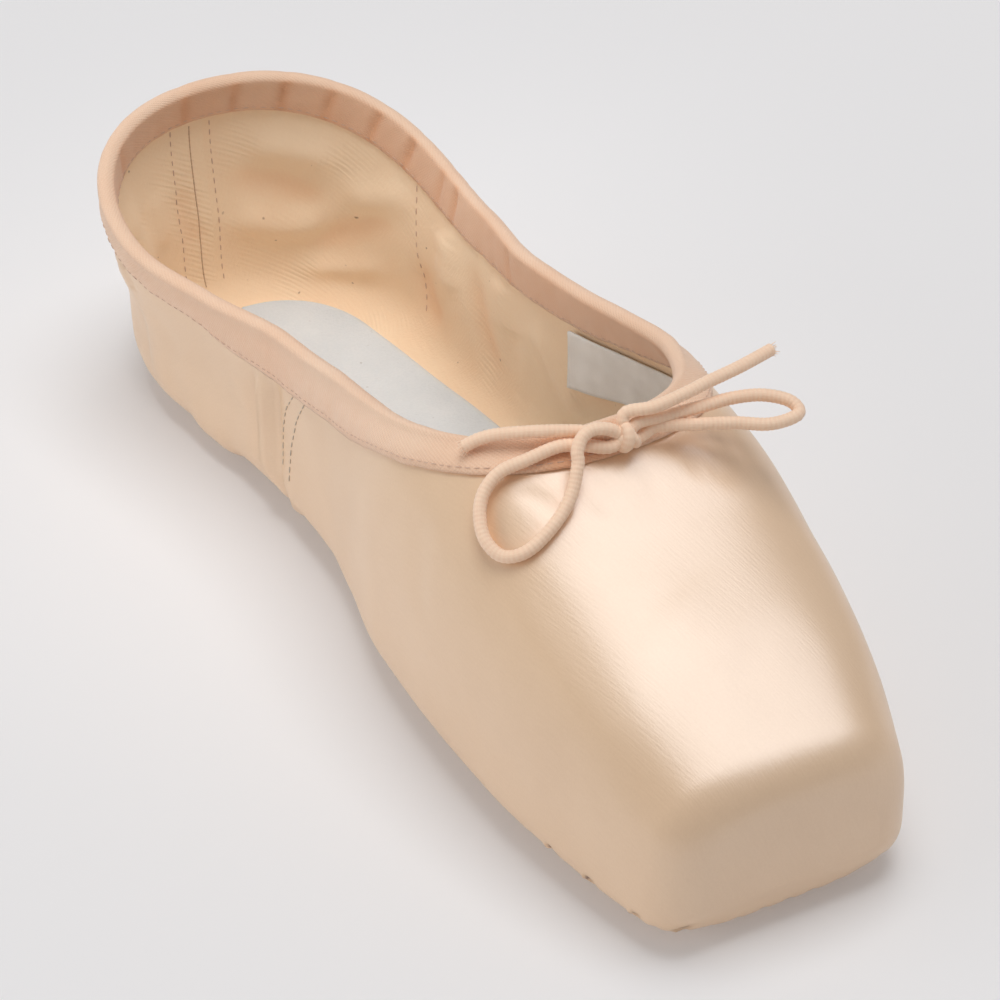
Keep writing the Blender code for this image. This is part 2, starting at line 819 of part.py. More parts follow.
body = [
    make_upper(satin),
    make_binding(tape),
    make_outsole(sole_leather),
    make_insole(insole_board),
    make_label(label_cloth),
]
bow = [
    make_knot(cord),
    make_cord("bow_loop_left", LEFT_LOOP, cord),
    make_cord("bow_loop_right", RIGHT_LOOP, cord),
    make_cord("bow_end_left", LEFT_END, cord),
    make_cord("bow_end_right", RIGHT_END, cord),
]
centre_all(body + bow, body)
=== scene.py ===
import math

import bmesh
import bpy
import numpy as np
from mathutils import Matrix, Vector, noise
from mathutils.bvhtree import BVHTree


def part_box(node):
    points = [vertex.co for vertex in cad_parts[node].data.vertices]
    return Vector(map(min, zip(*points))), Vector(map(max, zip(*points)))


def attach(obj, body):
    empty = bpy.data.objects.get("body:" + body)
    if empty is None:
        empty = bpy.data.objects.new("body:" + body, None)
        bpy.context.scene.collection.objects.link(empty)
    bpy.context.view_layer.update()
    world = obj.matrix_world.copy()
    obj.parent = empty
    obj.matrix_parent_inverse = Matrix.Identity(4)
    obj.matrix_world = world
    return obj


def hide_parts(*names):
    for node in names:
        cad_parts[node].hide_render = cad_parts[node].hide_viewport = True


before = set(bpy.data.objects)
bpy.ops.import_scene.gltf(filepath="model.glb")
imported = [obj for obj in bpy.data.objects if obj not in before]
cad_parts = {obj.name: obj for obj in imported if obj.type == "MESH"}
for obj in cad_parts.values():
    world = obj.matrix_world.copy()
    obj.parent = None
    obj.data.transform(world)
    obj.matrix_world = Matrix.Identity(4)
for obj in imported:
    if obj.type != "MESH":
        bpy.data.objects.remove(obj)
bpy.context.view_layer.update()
scene = bpy.context.scene
scene.view_settings.view_transform = "Standard"

# the camera, at the photograph's place and angle to this one shoe

cameraView = {
    "eye": (-0.30762, -0.57959, 0.51116),
    "turn": (0.928253, 0.007527, -0.498333),
    "lens": 147.0,
}

cameraData = bpy.data.cameras.new("camera")
cameraData.lens = cameraView["lens"]
cameraData.sensor_width = 36
cameraData.clip_start = 0.05
cameraData.clip_end = 20
camera = bpy.data.objects.new("camera", cameraData)
camera.location = cameraView["eye"]
camera.rotation_euler = cameraView["turn"]
scene.collection.objects.link(camera)
scene.camera = camera
print("camera placed")

# shader maths as plain expressions


class Val:
    def __init__(self, shade, socket):
        self.shade = shade
        self.socket = socket

    def maths(self, operation, *values):
        return self.shade.get("ShaderNodeMath", {"operation": operation}, dict(enumerate(values)))

    def __add__(self, other):
        return self.maths("ADD", self, other)

    def __radd__(self, other):
        return self.maths("ADD", other, self)

    def __sub__(self, other):
        return self.maths("SUBTRACT", self, other)

    def __rsub__(self, other):
        return self.maths("SUBTRACT", other, self)

    def __mul__(self, other):
        return self.maths("MULTIPLY", self, other)

    def __rmul__(self, other):
        return self.maths("MULTIPLY", other, self)

    def __pow__(self, other):
        return self.maths("POWER", self, other)

    def sin(self):
        return self.maths("SINE", self)

    def clamp(self):
        return self.shade.get("ShaderNodeClamp", {}, {0: self})


class Shade:
    def __init__(self, name, fixed):
        self.material = bpy.data.materials.new(name)
        self.material.use_nodes = True
        self.tree = self.material.node_tree
        self.shader = self.tree.nodes["Principled BSDF"]
        for key, value in fixed.items():
            self.shader.inputs[key].default_value = value

    def add(self, kind, settings=None, values=None):
        node = self.tree.nodes.new(kind)
        for key, value in (settings or {}).items():
            if key == "stops":
                ramp = node.color_ramp
                while len(ramp.elements) < len(value):
                    ramp.elements.new(0.5)
                for element, (place, color) in zip(ramp.elements, value):
                    element.position = place
                    element.color = (*color, 1)
            else:
                setattr(node, key, value)
        for key, value in (values or {}).items():
            self.feed(node.inputs[key], value)
        return node

    def feed(self, socket, value):
        if isinstance(value, Val):
            self.tree.links.new(value.socket, socket)
        else:
            socket.default_value = value

    def get(self, kind, settings=None, values=None, output=0):
        return Val(self, self.add(kind, settings, values).outputs[output])

    def clothUv(self):
        uv = self.get("ShaderNodeUVMap", {"uv_map": "cloth"})
        parts = self.add("ShaderNodeSeparateXYZ", {}, {0: uv})
        return uv, Val(self, parts.outputs[0]), Val(self, parts.outputs[1])

    def place(self):
        return self.get("ShaderNodeTexCoord", output=3)

    def amount(self, name):
        return self.get("ShaderNodeAttribute", {"attribute_name": name}, output=2)

    def noise(self, vector, scale, detail=2.0, roughness=0.5):
        values = {"Vector": vector, "Scale": scale, "Detail": detail, "Roughness": roughness}
        return self.get("ShaderNodeTexNoise", {}, values)

    def blend(self, factor, a, b):
        # a color is a socket or a name in finishes
        values = {0: factor}
        for key, value in ((6, a), (7, b)):
            values[key] = value if isinstance(value, Val) else (*finishes[value], 1)
        return self.get("ShaderNodeMix", {"data_type": "RGBA"}, values, 2)

    def bump(self, height, strength, distance):
        values = {"Height": height, "Strength": strength, "Distance": distance}
        self.set("Normal", self.get("ShaderNodeBump", {}, values))

    def set(self, name, value):
        self.feed(self.shader.inputs[name], value)


# materials

finishes = {
    "satinLight": (0.86, 0.605, 0.39),
    "satinDeep": (0.73, 0.48, 0.285),
    "nick": (0.20, 0.08, 0.04),
    "tapeLight": (0.88, 0.63, 0.46),
    "tapeDeep": (0.80, 0.45, 0.27),
    "liningLight": (1.0, 0.79, 0.56),
    "liningDeep": (0.93, 0.60, 0.37),
    "cordLight": (1.0, 0.74, 0.54),
    "cordDeep": (0.93, 0.60, 0.41),
    "suedeLight": (0.74, 0.77, 0.78),
    "suedeDeep": (0.60, 0.64, 0.66),
    "leatherLight": (0.60, 0.45, 0.32),
    "leatherDeep": (0.40, 0.27, 0.17),
    "labelWhite": (0.96, 0.94, 0.90),
    "threadGrey": (0.66, 0.56, 0.46),
    "threadGreyDeep": (0.462, 0.392, 0.322),
    "threadPeach": (0.80, 0.55, 0.42),
    "threadPeachDeep": (0.56, 0.385, 0.294),
    "threadDark": (0.74, 0.50, 0.33),
    "threadDarkDeep": (0.518, 0.35, 0.231),
    "liningFleck": (0.25, 0.14, 0.08),
    "suedeFleck": (0.36, 0.33, 0.30),
    "leatherScuff": (0.70, 0.58, 0.46),
    "labelDeep": (0.60, 0.56, 0.50),
}


def twill(shade, u, v, pitch, lean):
    turn, lean = 2 * math.pi / pitch, math.radians(lean)
    return (u * (turn * math.cos(lean)) + v * (turn * math.sin(lean))).sin()


def streaks(shade, uv, lean, long, wide):
    spot = shade.get("ShaderNodeMapping", {"vector_type": "TEXTURE"},
                     {"Vector": uv, "Rotation": (0, 0, math.radians(lean)), "Scale": (long, wide, 1.0)})
    return shade.noise(spot, 1, 2)


def makeSatin():
    fixed = {"Metallic": 0.05, "IOR": 2.25, "Sheen Weight": 0.05, "Sheen Roughness": 0.4}
    shade = Shade("satin_cloth", fixed)
    uv, _, _ = shade.clothUv()
    wander = shade.noise(uv, 55, 3)
    weave = streaks(shade, uv, 112, 0.0042, 0.00048)
    cross = streaks(shade, uv, 30, 0.0022, 0.00036)
    grit = shade.noise(uv, 2200, 2)
    fold = shade.amount("fold")
    # tone is the satin's own random tone, plus painted shade from fold in the creases and pleats
    tone = (wander * 0.6 + weave * 0.25 + grit * 0.4 - 0.35 + fold * 0.8).clamp()
    cloth = shade.blend(tone, "satinLight", "satinDeep")
    # fold above 1 paints the nicks' shadow spots
    shade.set("Base Color", shade.blend((fold - 1).clamp(), cloth, "nick"))
    shade.set("Roughness", 0.27 + wander * 0.07 + grit * 0.08)
    shade.bump(weave * 0.7 + cross * 0.3 + grit * 0.4, 0.45, 0.0001)
    return shade.material


def makeLining():
    fixed = {"Roughness": 0.85, "Sheen Weight": 0.15, "Specular IOR Level": 0.25}
    shade = Shade("lining_cotton", fixed)
    uv, u, v = shade.clothUv()
    slub = streaks(shade, uv, 120, 0.006, 0.0009)
    cross = streaks(shade, uv, 30, 0.002, 0.0005)
    fold = shade.amount("fold").clamp()
    patches = shade.noise(uv, 46, 2)
    ribby = ((patches - 0.51) * 6).clamp()
    rib = (twill(shade, u + slub * 0.0009, v, 0.00115, 31) * 0.5 + 0.5) * ribby
    wander = shade.noise(uv, 28, 3)
    grit = shade.noise(uv, 1500, 2)
    fleck = ((shade.noise(uv, 420, 1) - 0.76) * 14).clamp()
    # fold paints shade into the lining's dents; the rest of tone is the cotton's own random tone and ribs
    tone = (wander * 1.0 - rib * 0.14 + grit * 0.3 - 0.5 + fold * 0.7).clamp()
    cloth = shade.blend(tone, "liningLight", "liningDeep")
    shade.set("Base Color", shade.blend(fleck, cloth, "liningFleck"))
    shade.bump(rib * 0.6 + slub * 0.4 + cross * 0.4 + grit * 0.4, 0.6, 0.00026)
    return shade.material


def makeTape():
    fixed = {"Roughness": 0.8, "Sheen Weight": 0.3, "Sheen Roughness": 0.5, "Specular IOR Level": 0.3}
    shade = Shade("binding_twill", fixed)
    uv, u, v = shade.clothUv()
    rib = twill(shade, u, v, 0.00062, 55) * 0.5 + 0.5
    cross = twill(shade, u, v, 0.0005, -35) * 0.5 + 0.5
    wander = shade.noise(uv, 60, 3)
    grit = shade.noise(uv, 1400, 2)
    fold = shade.amount("fold").clamp()
    # fold paints the tape's shade and the bow's shadow; the rest of tone is the twill's own random tone
    tone = (wander * 0.8 + rib * cross * 0.3 + grit * 0.3 - 0.4 + fold).clamp()
    shade.set("Base Color", shade.blend(tone, "tapeLight", "tapeDeep"))
    shade.bump(rib * 0.6 + cross * 0.4 + grit * 0.5, 0.5, 0.00018)
    return shade.material


def makeCordCloth():
    fixed = {"Roughness": 0.6, "Sheen Weight": 0.4, "Specular IOR Level": 0.4}
    shade = Shade("cord_braid", fixed)
    uv, u, v = shade.clothUv()
    strand = twill(shade, u, v, 0.0002, 62) * 0.5 + 0.5
    wander = shade.noise(uv, 240, 2)
    fold = shade.amount("fold").clamp()
    # fold paints shade into the braid's hollows; the rest of tone is the cord's own random tone
    tone = (wander * 0.6 + fold * 0.5 - 0.25 + strand * 0.1).clamp()
    shade.set("Base Color", shade.blend(tone, "cordLight", "cordDeep"))
    shade.bump(strand, 0.3, 0.00006)
    return shade.material


def makeSuede():
    shade = Shade("insole_suede", {"Roughness": 0.95, "Sheen Weight": 0.2, "Specular IOR Level": 0.2})
    spot = shade.place()
    cloud = shade.noise(spot, 60, 4)
    nap = shade.noise(spot, 1800, 2)
    fleck = ((shade.noise(spot, 700, 1) - 0.74) * 12).clamp()
    tone = (cloud * 1.2 + nap * 0.5 - 0.5).clamp()
    cloth = shade.blend(tone, "suedeLight", "suedeDeep")
    shade.set("Base Color", shade.blend(fleck * 0.5, cloth, "suedeFleck"))
    shade.bump(nap + cloud * 0.4, 0.5, 0.00025)
    return shade.material


def makeLeather():
    shade = Shade("sole_leather_grain", {"Roughness": 0.7, "Specular IOR Level": 0.35})
    spot = shade.place()
    cloud = shade.noise(spot, 40, 4)
    grain = shade.get("ShaderNodeTexVoronoi", {}, {"Vector": spot, "Scale": 900.0})
    nap = shade.noise(spot, 1500, 2)
    long = shade.get("ShaderNodeMapping", {}, {"Vector": spot, "Scale": (900.0, 60.0, 300.0)})
    scuff = ((shade.noise(long, 1, 2) - 0.62) * 6).clamp()
    tone = (cloud * 1.3 + nap * 0.3 - 0.45).clamp()
    hide = shade.blend(tone, "leatherLight", "leatherDeep")
    shade.set("Base Color", shade.blend(scuff * 0.18, hide, "leatherScuff"))
    shade.set("Roughness", 0.6 + cloud * 0.2)
    shade.bump(grain * 0.5 + nap * 0.5 - scuff * 0.3, 0.4, 0.0002)
    return shade.material


def makeLabelCloth():
    shade = Shade("label_weave", {"Roughness": 0.75, "Specular IOR Level": 0.3})
    uv, u, v = shade.clothUv()
    weft = twill(shade, u, v, 0.00045, 0) * 0.5 + 0.5
    warp = twill(shade, u, v, 0.00045, 90) * 0.5 + 0.5
    cloud = shade.noise(uv, 150, 2)
    tone = (cloud * 0.8 + weft * warp * 0.3 - 0.3).clamp()
    shade.set("Base Color", shade.blend(tone, "labelWhite", "labelDeep"))
    shade.bump(weft * warp, 0.4, 0.0001)
    return shade.material


def makeThread(name, color):
    shade = Shade(name, {"Roughness": 0.7, "Specular IOR Level": 0.3})
    fibre = shade.noise(shade.place(), 2500, 1)
    shade.set("Base Color", shade.blend(fibre, color, color + "Deep"))
    shade.bump(fibre, 0.3, 0.0001)
    return shade.material


satinCloth = makeSatin()
liningCotton = makeLining()
bindingTwill = makeTape()
cordBraid = makeCordCloth()
insoleSuede = makeSuede()
soleGrain = makeLeather()
labelWeave = makeLabelCloth()
threadGrey = makeThread("thread_grey", "threadGrey")
threadPeach = makeThread("thread_peach", "threadPeach")
threadDark = makeThread("thread_dark", "threadDark")
print("materials made")

# the last, in metres: along runs from the toe, height from the last's underside

last = {
    "length": 0.232,
    "ballWidth": 0.0784,
    "instepHeight": 0.0640,
    "throat": 0.0732,
    "heelPivot": 0.1977,
    "platformRadius": 0.0070,
    "toeRoundness": 3.0,
    "instepRoundness": 2.6,
    "undersideRoundness": 4.5,
    "heelPlanRoundness": 2.2,
    "flareHeight": 0.050,
    "archHeight": 0.0020,
    "toeSpring": 0.0010,
    "heelSwing": -0.0088,
    "toeSwing": -0.0021,
    "swingCentre": 0.090,
    "boxWall": 0.0030,
    "quarterWall": 0.0015,
    "gap": 0.0003,
}

# along, half width, top, waist, flare and wall, as shares of the last's sizes
sections = np.array([
    (0.000, 0.658, 0.500, 0.165, 0.00, 1.00),
    (0.108, 0.852, 0.680, 0.223, 0.00, 1.00),
    (0.216, 0.967, 0.828, 0.262, 0.00, 0.80),
    (0.316, 1.000, 1.000, 0.316, 0.00, 0.30),
    (0.410, 0.977, 1.070, 0.320, 0.00, 0.05),
    (0.496, 0.872, 1.120, 0.320, 0.00, 0.00),
    (0.560, 0.797, 1.210, 0.320, 0.00, 0.00),
    (0.647, 0.765, 1.400, 0.320, 0.00, 0.00),
    (0.754, 0.772, 1.270, 0.320, 0.14, 0.00),
    (0.852, 0.826, 1.060, 0.320, 0.22, 0.00),
    (1.000, 0.834, 1.040, 0.320, 0.15, 0.00),
])
# along and height, as shares of the length and of the instep's height
collarRows = np.array([(0.410, 0.915), (0.520, 0.820), (0.625, 0.746), (0.819, 0.678), (1.000, 0.886)])
archRows = np.array([(0, 0), (0.42, 0), (0.52, 0.6), (0.60, 1), (0.68, 0.8), (0.78, 0), (1, 0)])

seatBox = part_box("upper")
seat = Vector((0.00203, seatBox[0][1], 0.0021))  # where the last stands in the frame


def smoothCurve(rows, column, along):
    places = rows[:, 0] * last["length"]
    values = rows[:, column]
    rises = np.diff(values) / np.diff(places)
    product = rises[:-1] * rises[1:]
    total = np.where(product > 0, rises[:-1] + rises[1:], 1.0)
    slopes = np.concatenate(([rises[0]], np.where(product > 0, 2 * product / total, 0.0), [rises[-1]]))
    along = np.clip(np.asarray(along, float), places[0], places[-1])
    i = np.clip(np.searchsorted(places, along, side="right") - 1, 0, len(places) - 2)
    span = places[i + 1] - places[i]
    t = (along - places[i]) / span
    start = (2 * t**3 - 3 * t**2 + 1) * values[i] + (t**3 - 2 * t**2 + t) * span * slopes[i]
    end = (3 * t**2 - 2 * t**3) * values[i + 1] + (t**3 - t**2) * span * slopes[i + 1]
    return start + end


def sized(column, size):
    return lambda along: smoothCurve(sections, column, along) * size


halfWidth = sized(1, last["ballWidth"] / 2)
topHeight = sized(2, last["instepHeight"])
waistHeight = sized(3, last["instepHeight"])
flareAt = sized(4, last["ballWidth"] / 2)


def wallAt(along):
    share = smoothCurve(sections, 5, along)
    return last["quarterWall"] + (last["boxWall"] - last["quarterWall"]) * share


def lowHeight(along):
    spring = last["toeSpring"] * np.maximum(0.0, 1 - np.asarray(along) / 0.040) ** 2
    return last["archHeight"] * smoothCurve(archRows, 1, along) + spring


def roundness(along):
    share = np.minimum(1.0, np.asarray(along) / last["throat"])
    return last["toeRoundness"] + (last["instepRoundness"] - last["toeRoundness"]) * share


throatRow = (last["throat"] / last["length"], float(topHeight(last["throat"])) / last["instepHeight"])
edgeRows = np.vstack([[throatRow], collarRows])


def edgeHeight(along):
    return smoothCurve(edgeRows, 1, along) * last["instepHeight"]


def widening(height, along, amount):
    low = waistHeight(along)
    return amount * np.maximum(0.0, (height - low) / (last["flareHeight"] - low)) ** 1.5


def heelRadius(angle):
    power = last["heelPlanRoundness"]
    side = np.abs(np.cos(angle)) / halfWidth(last["heelPivot"])
    back = np.abs(np.sin(angle)) / (last["length"] - last["heelPivot"])
    return (side**power + back**power) ** (-1 / power)


def heelFlare(angle):
    side = flareAt(last["heelPivot"])
    return side + (flareAt(last["length"]) - side) * np.sin(angle) ** 2


def sectionPoint(width, low, middle, high, power, turn):
    under = 2 / last["undersideRoundness"]
    over = 2 / power
    cosine = np.maximum(0.0, np.cos(turn))
    sine = np.abs(np.sin(turn))
    out = width * np.where(turn < 0, cosine**under, cosine**over)
    height = middle + np.where(turn < 0, -(middle - low) * sine**under, (high - middle) * sine**over)
    return out, height


def turnAtHeight(height, middle, high, power):
    share = min(1.0, max(0.0, (height - middle) / (high - middle)))
    return math.asin(min(1.0, share ** (power / 2)))


def turnAtReach(reach, width):
    return -math.acos(min(1.0, (max(0.0, reach) / width) ** (last["undersideRoundness"] / 2)))


sole = {
    "front": 0.021,
    "back": 0.224,
    "endLength": 0.018,
    "overlap": 0.005,
    "thickness": 0.0018,
    "edgeLift": 0.0006,
    "outline": np.array([(0.09, 0.48), (0.19, 0.62), (0.31, 0.70), (0.45, 0.58), (0.58, 0.41), (0.70, 0.38),
                         (0.83, 0.49), (0.93, 0.50)]),
}
insole = {
    "front": 0.012,
    "back": 0.2215,
    "endLength": 0.019,
    "thickness": 0.0018,
    "outline": np.array([(0.05, 0.44), (0.19, 0.62), (0.31, 0.69), (0.45, 0.65), (0.58, 0.59), (0.66, 0.57),
                         (0.80, 0.55), (0.93, 0.51)]),
}


def outlineHalf(part, along, inset=0.0):
    along = np.asarray(along, float)
    full = smoothCurve(part["outline"], 1, along) * last["ballWidth"] / 2 - inset
    for distance in (along - (part["front"] + inset), part["back"] - inset - along):
        share = np.clip(distance / (part["endLength"] - inset), 0.0, 1.0)
        full = full * np.maximum(0.0, 1 - (1 - share) ** 2.4) ** (1 / 2.4)
    return full


def openingHalf(along):
    return outlineHalf(sole, along, sole["overlap"])


def heelOpening(angle):
    near, far = 0.0, last["length"] - last["heelPivot"]
    for _ in range(40):
        reach = (near + far) / 2
        if reach * math.cos(angle) < openingHalf(last["heelPivot"] + reach * math.sin(angle)):
            near = reach
        else:
            far = reach
    return near


def outerHeight(across, along):
    low, middle = lowHeight(along), waistHeight(along)
    behind = np.maximum(0.0, along - last["heelPivot"])
    angle = np.arctan2(behind, np.abs(across))
    across = np.abs(across)
    share = np.where(behind > 0, np.hypot(across, behind) / heelRadius(angle), across / halfWidth(along))
    rise = 1 - np.minimum(1.0, share) ** last["undersideRoundness"]
    return middle - (middle - low) * rise ** (1 / last["undersideRoundness"])


def swing(along):
    centre = last["swingCentre"]
    heel = last["heelSwing"] * (np.maximum(0.0, along - centre) / (last["length"] - centre)) ** 2
    toe = last["toeSwing"] * (np.maximum(0.0, centre - along) / centre) ** 2
    return heel + toe


def placed(points):
    # from the straight last to the curved shoe in the frame
    points = np.array(points, float)
    points[:, 0] += swing(points[:, 1])
    return points + np.array(seat)


def level(points):
    across, along, height = points.T
    pivot = last["heelPivot"]
    behind = np.maximum(0.0, along - pivot)
    angle = np.arctan2(behind, np.abs(across))
    heel = behind > 0
    middle = waistHeight(along)
    flare = np.where(heel, heelFlare(angle), flareAt(along))
    reach = np.where(heel, np.hypot(across, behind), np.abs(across))
    width = np.where(heel, heelRadius(angle), halfWidth(along))
    high = topHeight(np.minimum(along, pivot))
    power = roundness(along)
    out = reach - widening(height, along, flare)
    return (
        np.maximum(0.0, out / width) ** power
        + np.maximum(0.0, (height - middle) / (high - middle)) ** power
        - 1
    )


def slope(points):
    step = 0.0001
    return np.stack(
        [(level(points + shift) - level(points - shift)) / (2 * step) for shift in np.eye(3) * step], axis=1
    )


def ontoLast(points):
    points = np.array(points, float)
    for _ in range(8):
        direction = slope(points)
        points -= direction * (level(points) / (direction**2).sum(1))[:, None]
    direction = slope(points)
    return points, direction / np.linalg.norm(direction, axis=1)[:, None]


def resample(points, count):
    lengths = np.concatenate(([0.0], np.cumsum(np.linalg.norm(np.diff(points, axis=0), axis=1))))
    targets = np.linspace(0, lengths[-1], count)
    return np.stack([np.interp(targets, lengths, points[:, k]) for k in range(points.shape[1])], axis=1)


def newPiece(name, vertices, faces, materials, uvs=None, faceMaterials=None, paintedShade=None):
    mesh = bpy.data.meshes.new(name)
    mesh.from_pydata([tuple(v) for v in vertices], [], [tuple(f) for f in faces])
    for material in materials:
        mesh.materials.append(material)
    if uvs is not None:
        layer = mesh.uv_layers.new(name="cloth")
        layer.data.foreach_set("uv", np.asarray(uvs, np.float32).ravel())
    if faceMaterials is not None:
        mesh.polygons.foreach_set("material_index", np.asarray(faceMaterials, np.int32))
    # the fold attribute holds painted shade and painted shadow, which the materials mix into their colour
    if paintedShade is not None:
        attribute = mesh.attributes.new("fold", "FLOAT", "POINT")
        attribute.data.foreach_set("value", np.asarray(paintedShade, np.float32))
    mesh.polygons.foreach_set("use_smooth", np.ones(len(mesh.polygons), bool))
    mesh.validate()
    mesh.update()
    obj = bpy.data.objects.new(name, mesh)
    scene.collection.objects.link(obj)
    return obj


def dress(obj, node):
    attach(obj, "root")
    if node:
        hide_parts(node)


def outward(obj):
    bm = bmesh.new()
    bm.from_mesh(obj.data)
    bmesh.ops.recalc_face_normals(bm, faces=bm.faces)
    bm.to_mesh(obj.data)
    bm.free()


def noiseAlong(places, scale, second, third=0):
    return np.array([noise.noise(Vector((place * scale, second, third))) for place in places])


plain = ((0, 0), (0, 1), (1, 1), (1, 0))
turned = ((0, 0), (1, 0), (1, 1), (0, 1))


def noUv(row, column):
    return (0.0, 0.0)


def gridFaces(rows, columns, uvAt=noUv, start=0, corners=plain, wrapRows=False, wrapColumns=False):
    faces, uvs = [], []
    for i in range(rows - 1 + wrapRows):
        for k in range(columns - 1 + wrapColumns):
            spots = [(i + a, k + b) for a, b in corners]
            faces.append(tuple(start + a % rows * columns + b % columns for a, b in spots))
            uvs += [uvAt(a, b) for a, b in spots]
    return faces, uvs


def tubeFaces(rows, around, uvAt=noUv, start=0):
    faces, uvs = gridFaces(rows, around, uvAt, start, turned, wrapColumns=True)
    end = start + (rows - 1) * around
    faces += [tuple(range(start, start + around)), tuple(range(end + around - 1, end - 1, -1))]
    return faces, uvs + [(0.0, 0.0)] * (2 * around)


def slabFaces(rows, columns, uvAt=noUv, facing=turned):
    # two grids of points, one over the other, and the wall round them
    offset = rows * columns
    faces, uvs = gridFaces(rows, columns, uvAt)
    others, otherUvs = gridFaces(rows, columns, uvAt, offset, facing)
    faces, uvs = faces + others, uvs + otherUvs
    ring = [(i, 0) for i in range(rows)] + [(rows - 1, k) for k in range(1, columns)]
    ring += [(i, columns - 1) for i in range(rows - 2, -1, -1)] + [(0, k) for k in range(columns - 2, 0, -1)]
    for here, there in zip(ring, ring[1:] + ring[:1]):
        a, b = (i * columns + k for i, k in (here, there))
        faces.append((a, b, offset + b, offset + a))
        uvs += [uvAt(*here), uvAt(*there), uvAt(*there), uvAt(*here)]
    return faces, uvs


# the drawstring bow: its route points are the model's own

bow = {
    "diameter": 0.0025,
    "bindingDepth": 0.0090,
    "bindingTop": 0.0012,
    "braidLobes": 8,
    "braidPitch": 0.0009,
    "braidHeight": 0.00007,
    "braidTurn": 0.0078,
    "around": 44,
    "step": 0.00017,
    "frayCount": 26,
    "frayLength": 0.0016,
    # millimetres across, behind the throat and above the shoe
    "knot": (0.4, -7.3, 2.0),
    "left_loop": (
        (-2.3, -6.6, 3.8), (-4.2, -6.2, 4.3), (-6, -5.8, 4.2), (-8.2, -6.2, 3.8), (-9.9, -7.5, 2.9),
        (-10.6, -9, 1.8), (-14, -12.2, 0.9), (-19.1, -14.7, 0.5), (-24.8, -15.4, 0.5), (-28.5, -12.8, 0.5),
        (-30, -8.7, 0.5), (-28.9, -4.6, 0.5), (-26.6, -2.2, 0.5), (-22.9, -1.5, 0.5), (-17.9, -2.7, 0.5),
        (-11.8, -3.4, 0.5), (-7.7, -5, 0.6), (-3.1, -7.4, 1),
    ),
    "right_loop": (
        (3.5, -7, 0.5), (7.3, -7, 1.8), (13.9, -10.1, 5.5), (20.9, -12.8, 8.6), (26.5, -15.6, 12.6),
        (31.5, -16.1, 17.6), (33.5, -15.1, 20.4), (32.5, -12.5, 18.7), (28.2, -9.8, 13.6),
        (22.4, -8.3, 8.1), (16.7, -8, 5.8), (10.6, -7.1, 3.9), (3.6, -6.6, 3.4),
    ),
    "left_end": (
        (-2.4, -4.9, 1.1), (-7.1, -2.6, 1.1), (-13.8, -0.1, 1.9), (-19.8, 4.2, 2.5), (-22.9, 6.6, 2.5),
        (-25.4, 7.9, 2.4),
    ),
    "right_end": (
        (1.3, -5.4, 4.9), (6.4, -7.6, 7.2), (12.5, -7.5, 8.4), (18.6, -6.5, 9.7), (26.3, -5.2, 13.2),
        (34.2, -3.3, 21.8),
    ),
}


def sectionSizes(along):
    return halfWidth(along), waistHeight(along), topHeight(along), roundness(along)


def shoeTop(across, along):
    width, middle, high, power = sectionSizes(along)
    share = min(0.999, abs(across) / width)
    return middle + (high - middle) * (1 - share**power) ** (1 / power)


def perch(point):
    across, behind, above = np.array(point) / 1000
    along = last["throat"] + behind
    tape = 0.0 if behind < -bow["bindingDepth"] else bow["bindingTop"]
    height = shoeTop(across, min(along, last["throat"])) + tape + above + bow["diameter"] / 2
    return placed([(across, along, height)])[0]


def cordRoute(points, isLoop):
    chosen = [perch(point) for point in points]
    heart = perch(bow["knot"])
    chosen.insert(0, heart * 0.9 + chosen[0] * 0.1)
    if isLoop:
        chosen.append(heart * 0.9 + chosen[-1] * 0.1)
    fine = []
    for i in range(len(chosen) - 1):
        before, after = chosen[max(0, i - 1)], chosen[min(len(chosen) - 1, i + 2)]
        a, b = chosen[i], chosen[i + 1]
        for k in range(16):
            t = k / 16
            bend = (2 * before - 5 * a + 4 * b - after) * t * t + (3 * a - before - 3 * b + after) * t**3
            fine.append(0.5 * (2 * a + (b - before) * t + bend))
    fine.append(chosen[-1])
    return np.array(fine)


def braidedTube(route, radius, around, step):
    length = np.linalg.norm(np.diff(route, axis=0), axis=1).sum()
    count = int(length / step) + 1
    line = resample(route, count)
    for _ in range(6):  # a soft cord has no sharp turn
        line[1:-1] = line[1:-1] * 0.5 + (line[:-2] + line[2:]) * 0.25
    tangent = np.gradient(line, axis=0)
    tangent /= np.linalg.norm(tangent, axis=1)[:, None]
    side = np.cross(tangent[0], (0, 0, 1))
    sides = []
    for t in tangent:
        side = side - t * (side @ t)
        side = side / np.linalg.norm(side)
        sides.append(side)
    sides = np.array(sides)
    ups = np.cross(tangent, sides)
    distance = np.linspace(0, length, count)
    angle = np.linspace(0, 2 * math.pi, around, endpoint=False)
    n, k = bow["braidLobes"], math.pi / bow["braidPitch"]
    a = n * angle[None, :] + k * distance[:, None]
    b = n * angle[None, :] - k * distance[:, None]
    relief = np.cos(a) * np.cos(b)
    size = radius + bow["braidHeight"] * (relief - 0.5)
    ring = np.cos(angle)[None, :, None] * sides[:, None, :] + np.sin(angle)[None, :, None] * ups[:, None, :]
    points = (line[:, None, :] + ring * size[:, :, None]).reshape(-1, 3)
    faces, uvs = tubeFaces(count, around, lambda a, b: (b / around * bow["braidTurn"], distance[a]))
    # painted shade: the braid is darkened in its hollows between the lobes
    depth = np.clip(0.45 - relief * 0.6, 0, 1).ravel()
    return line, points, faces, uvs, depth


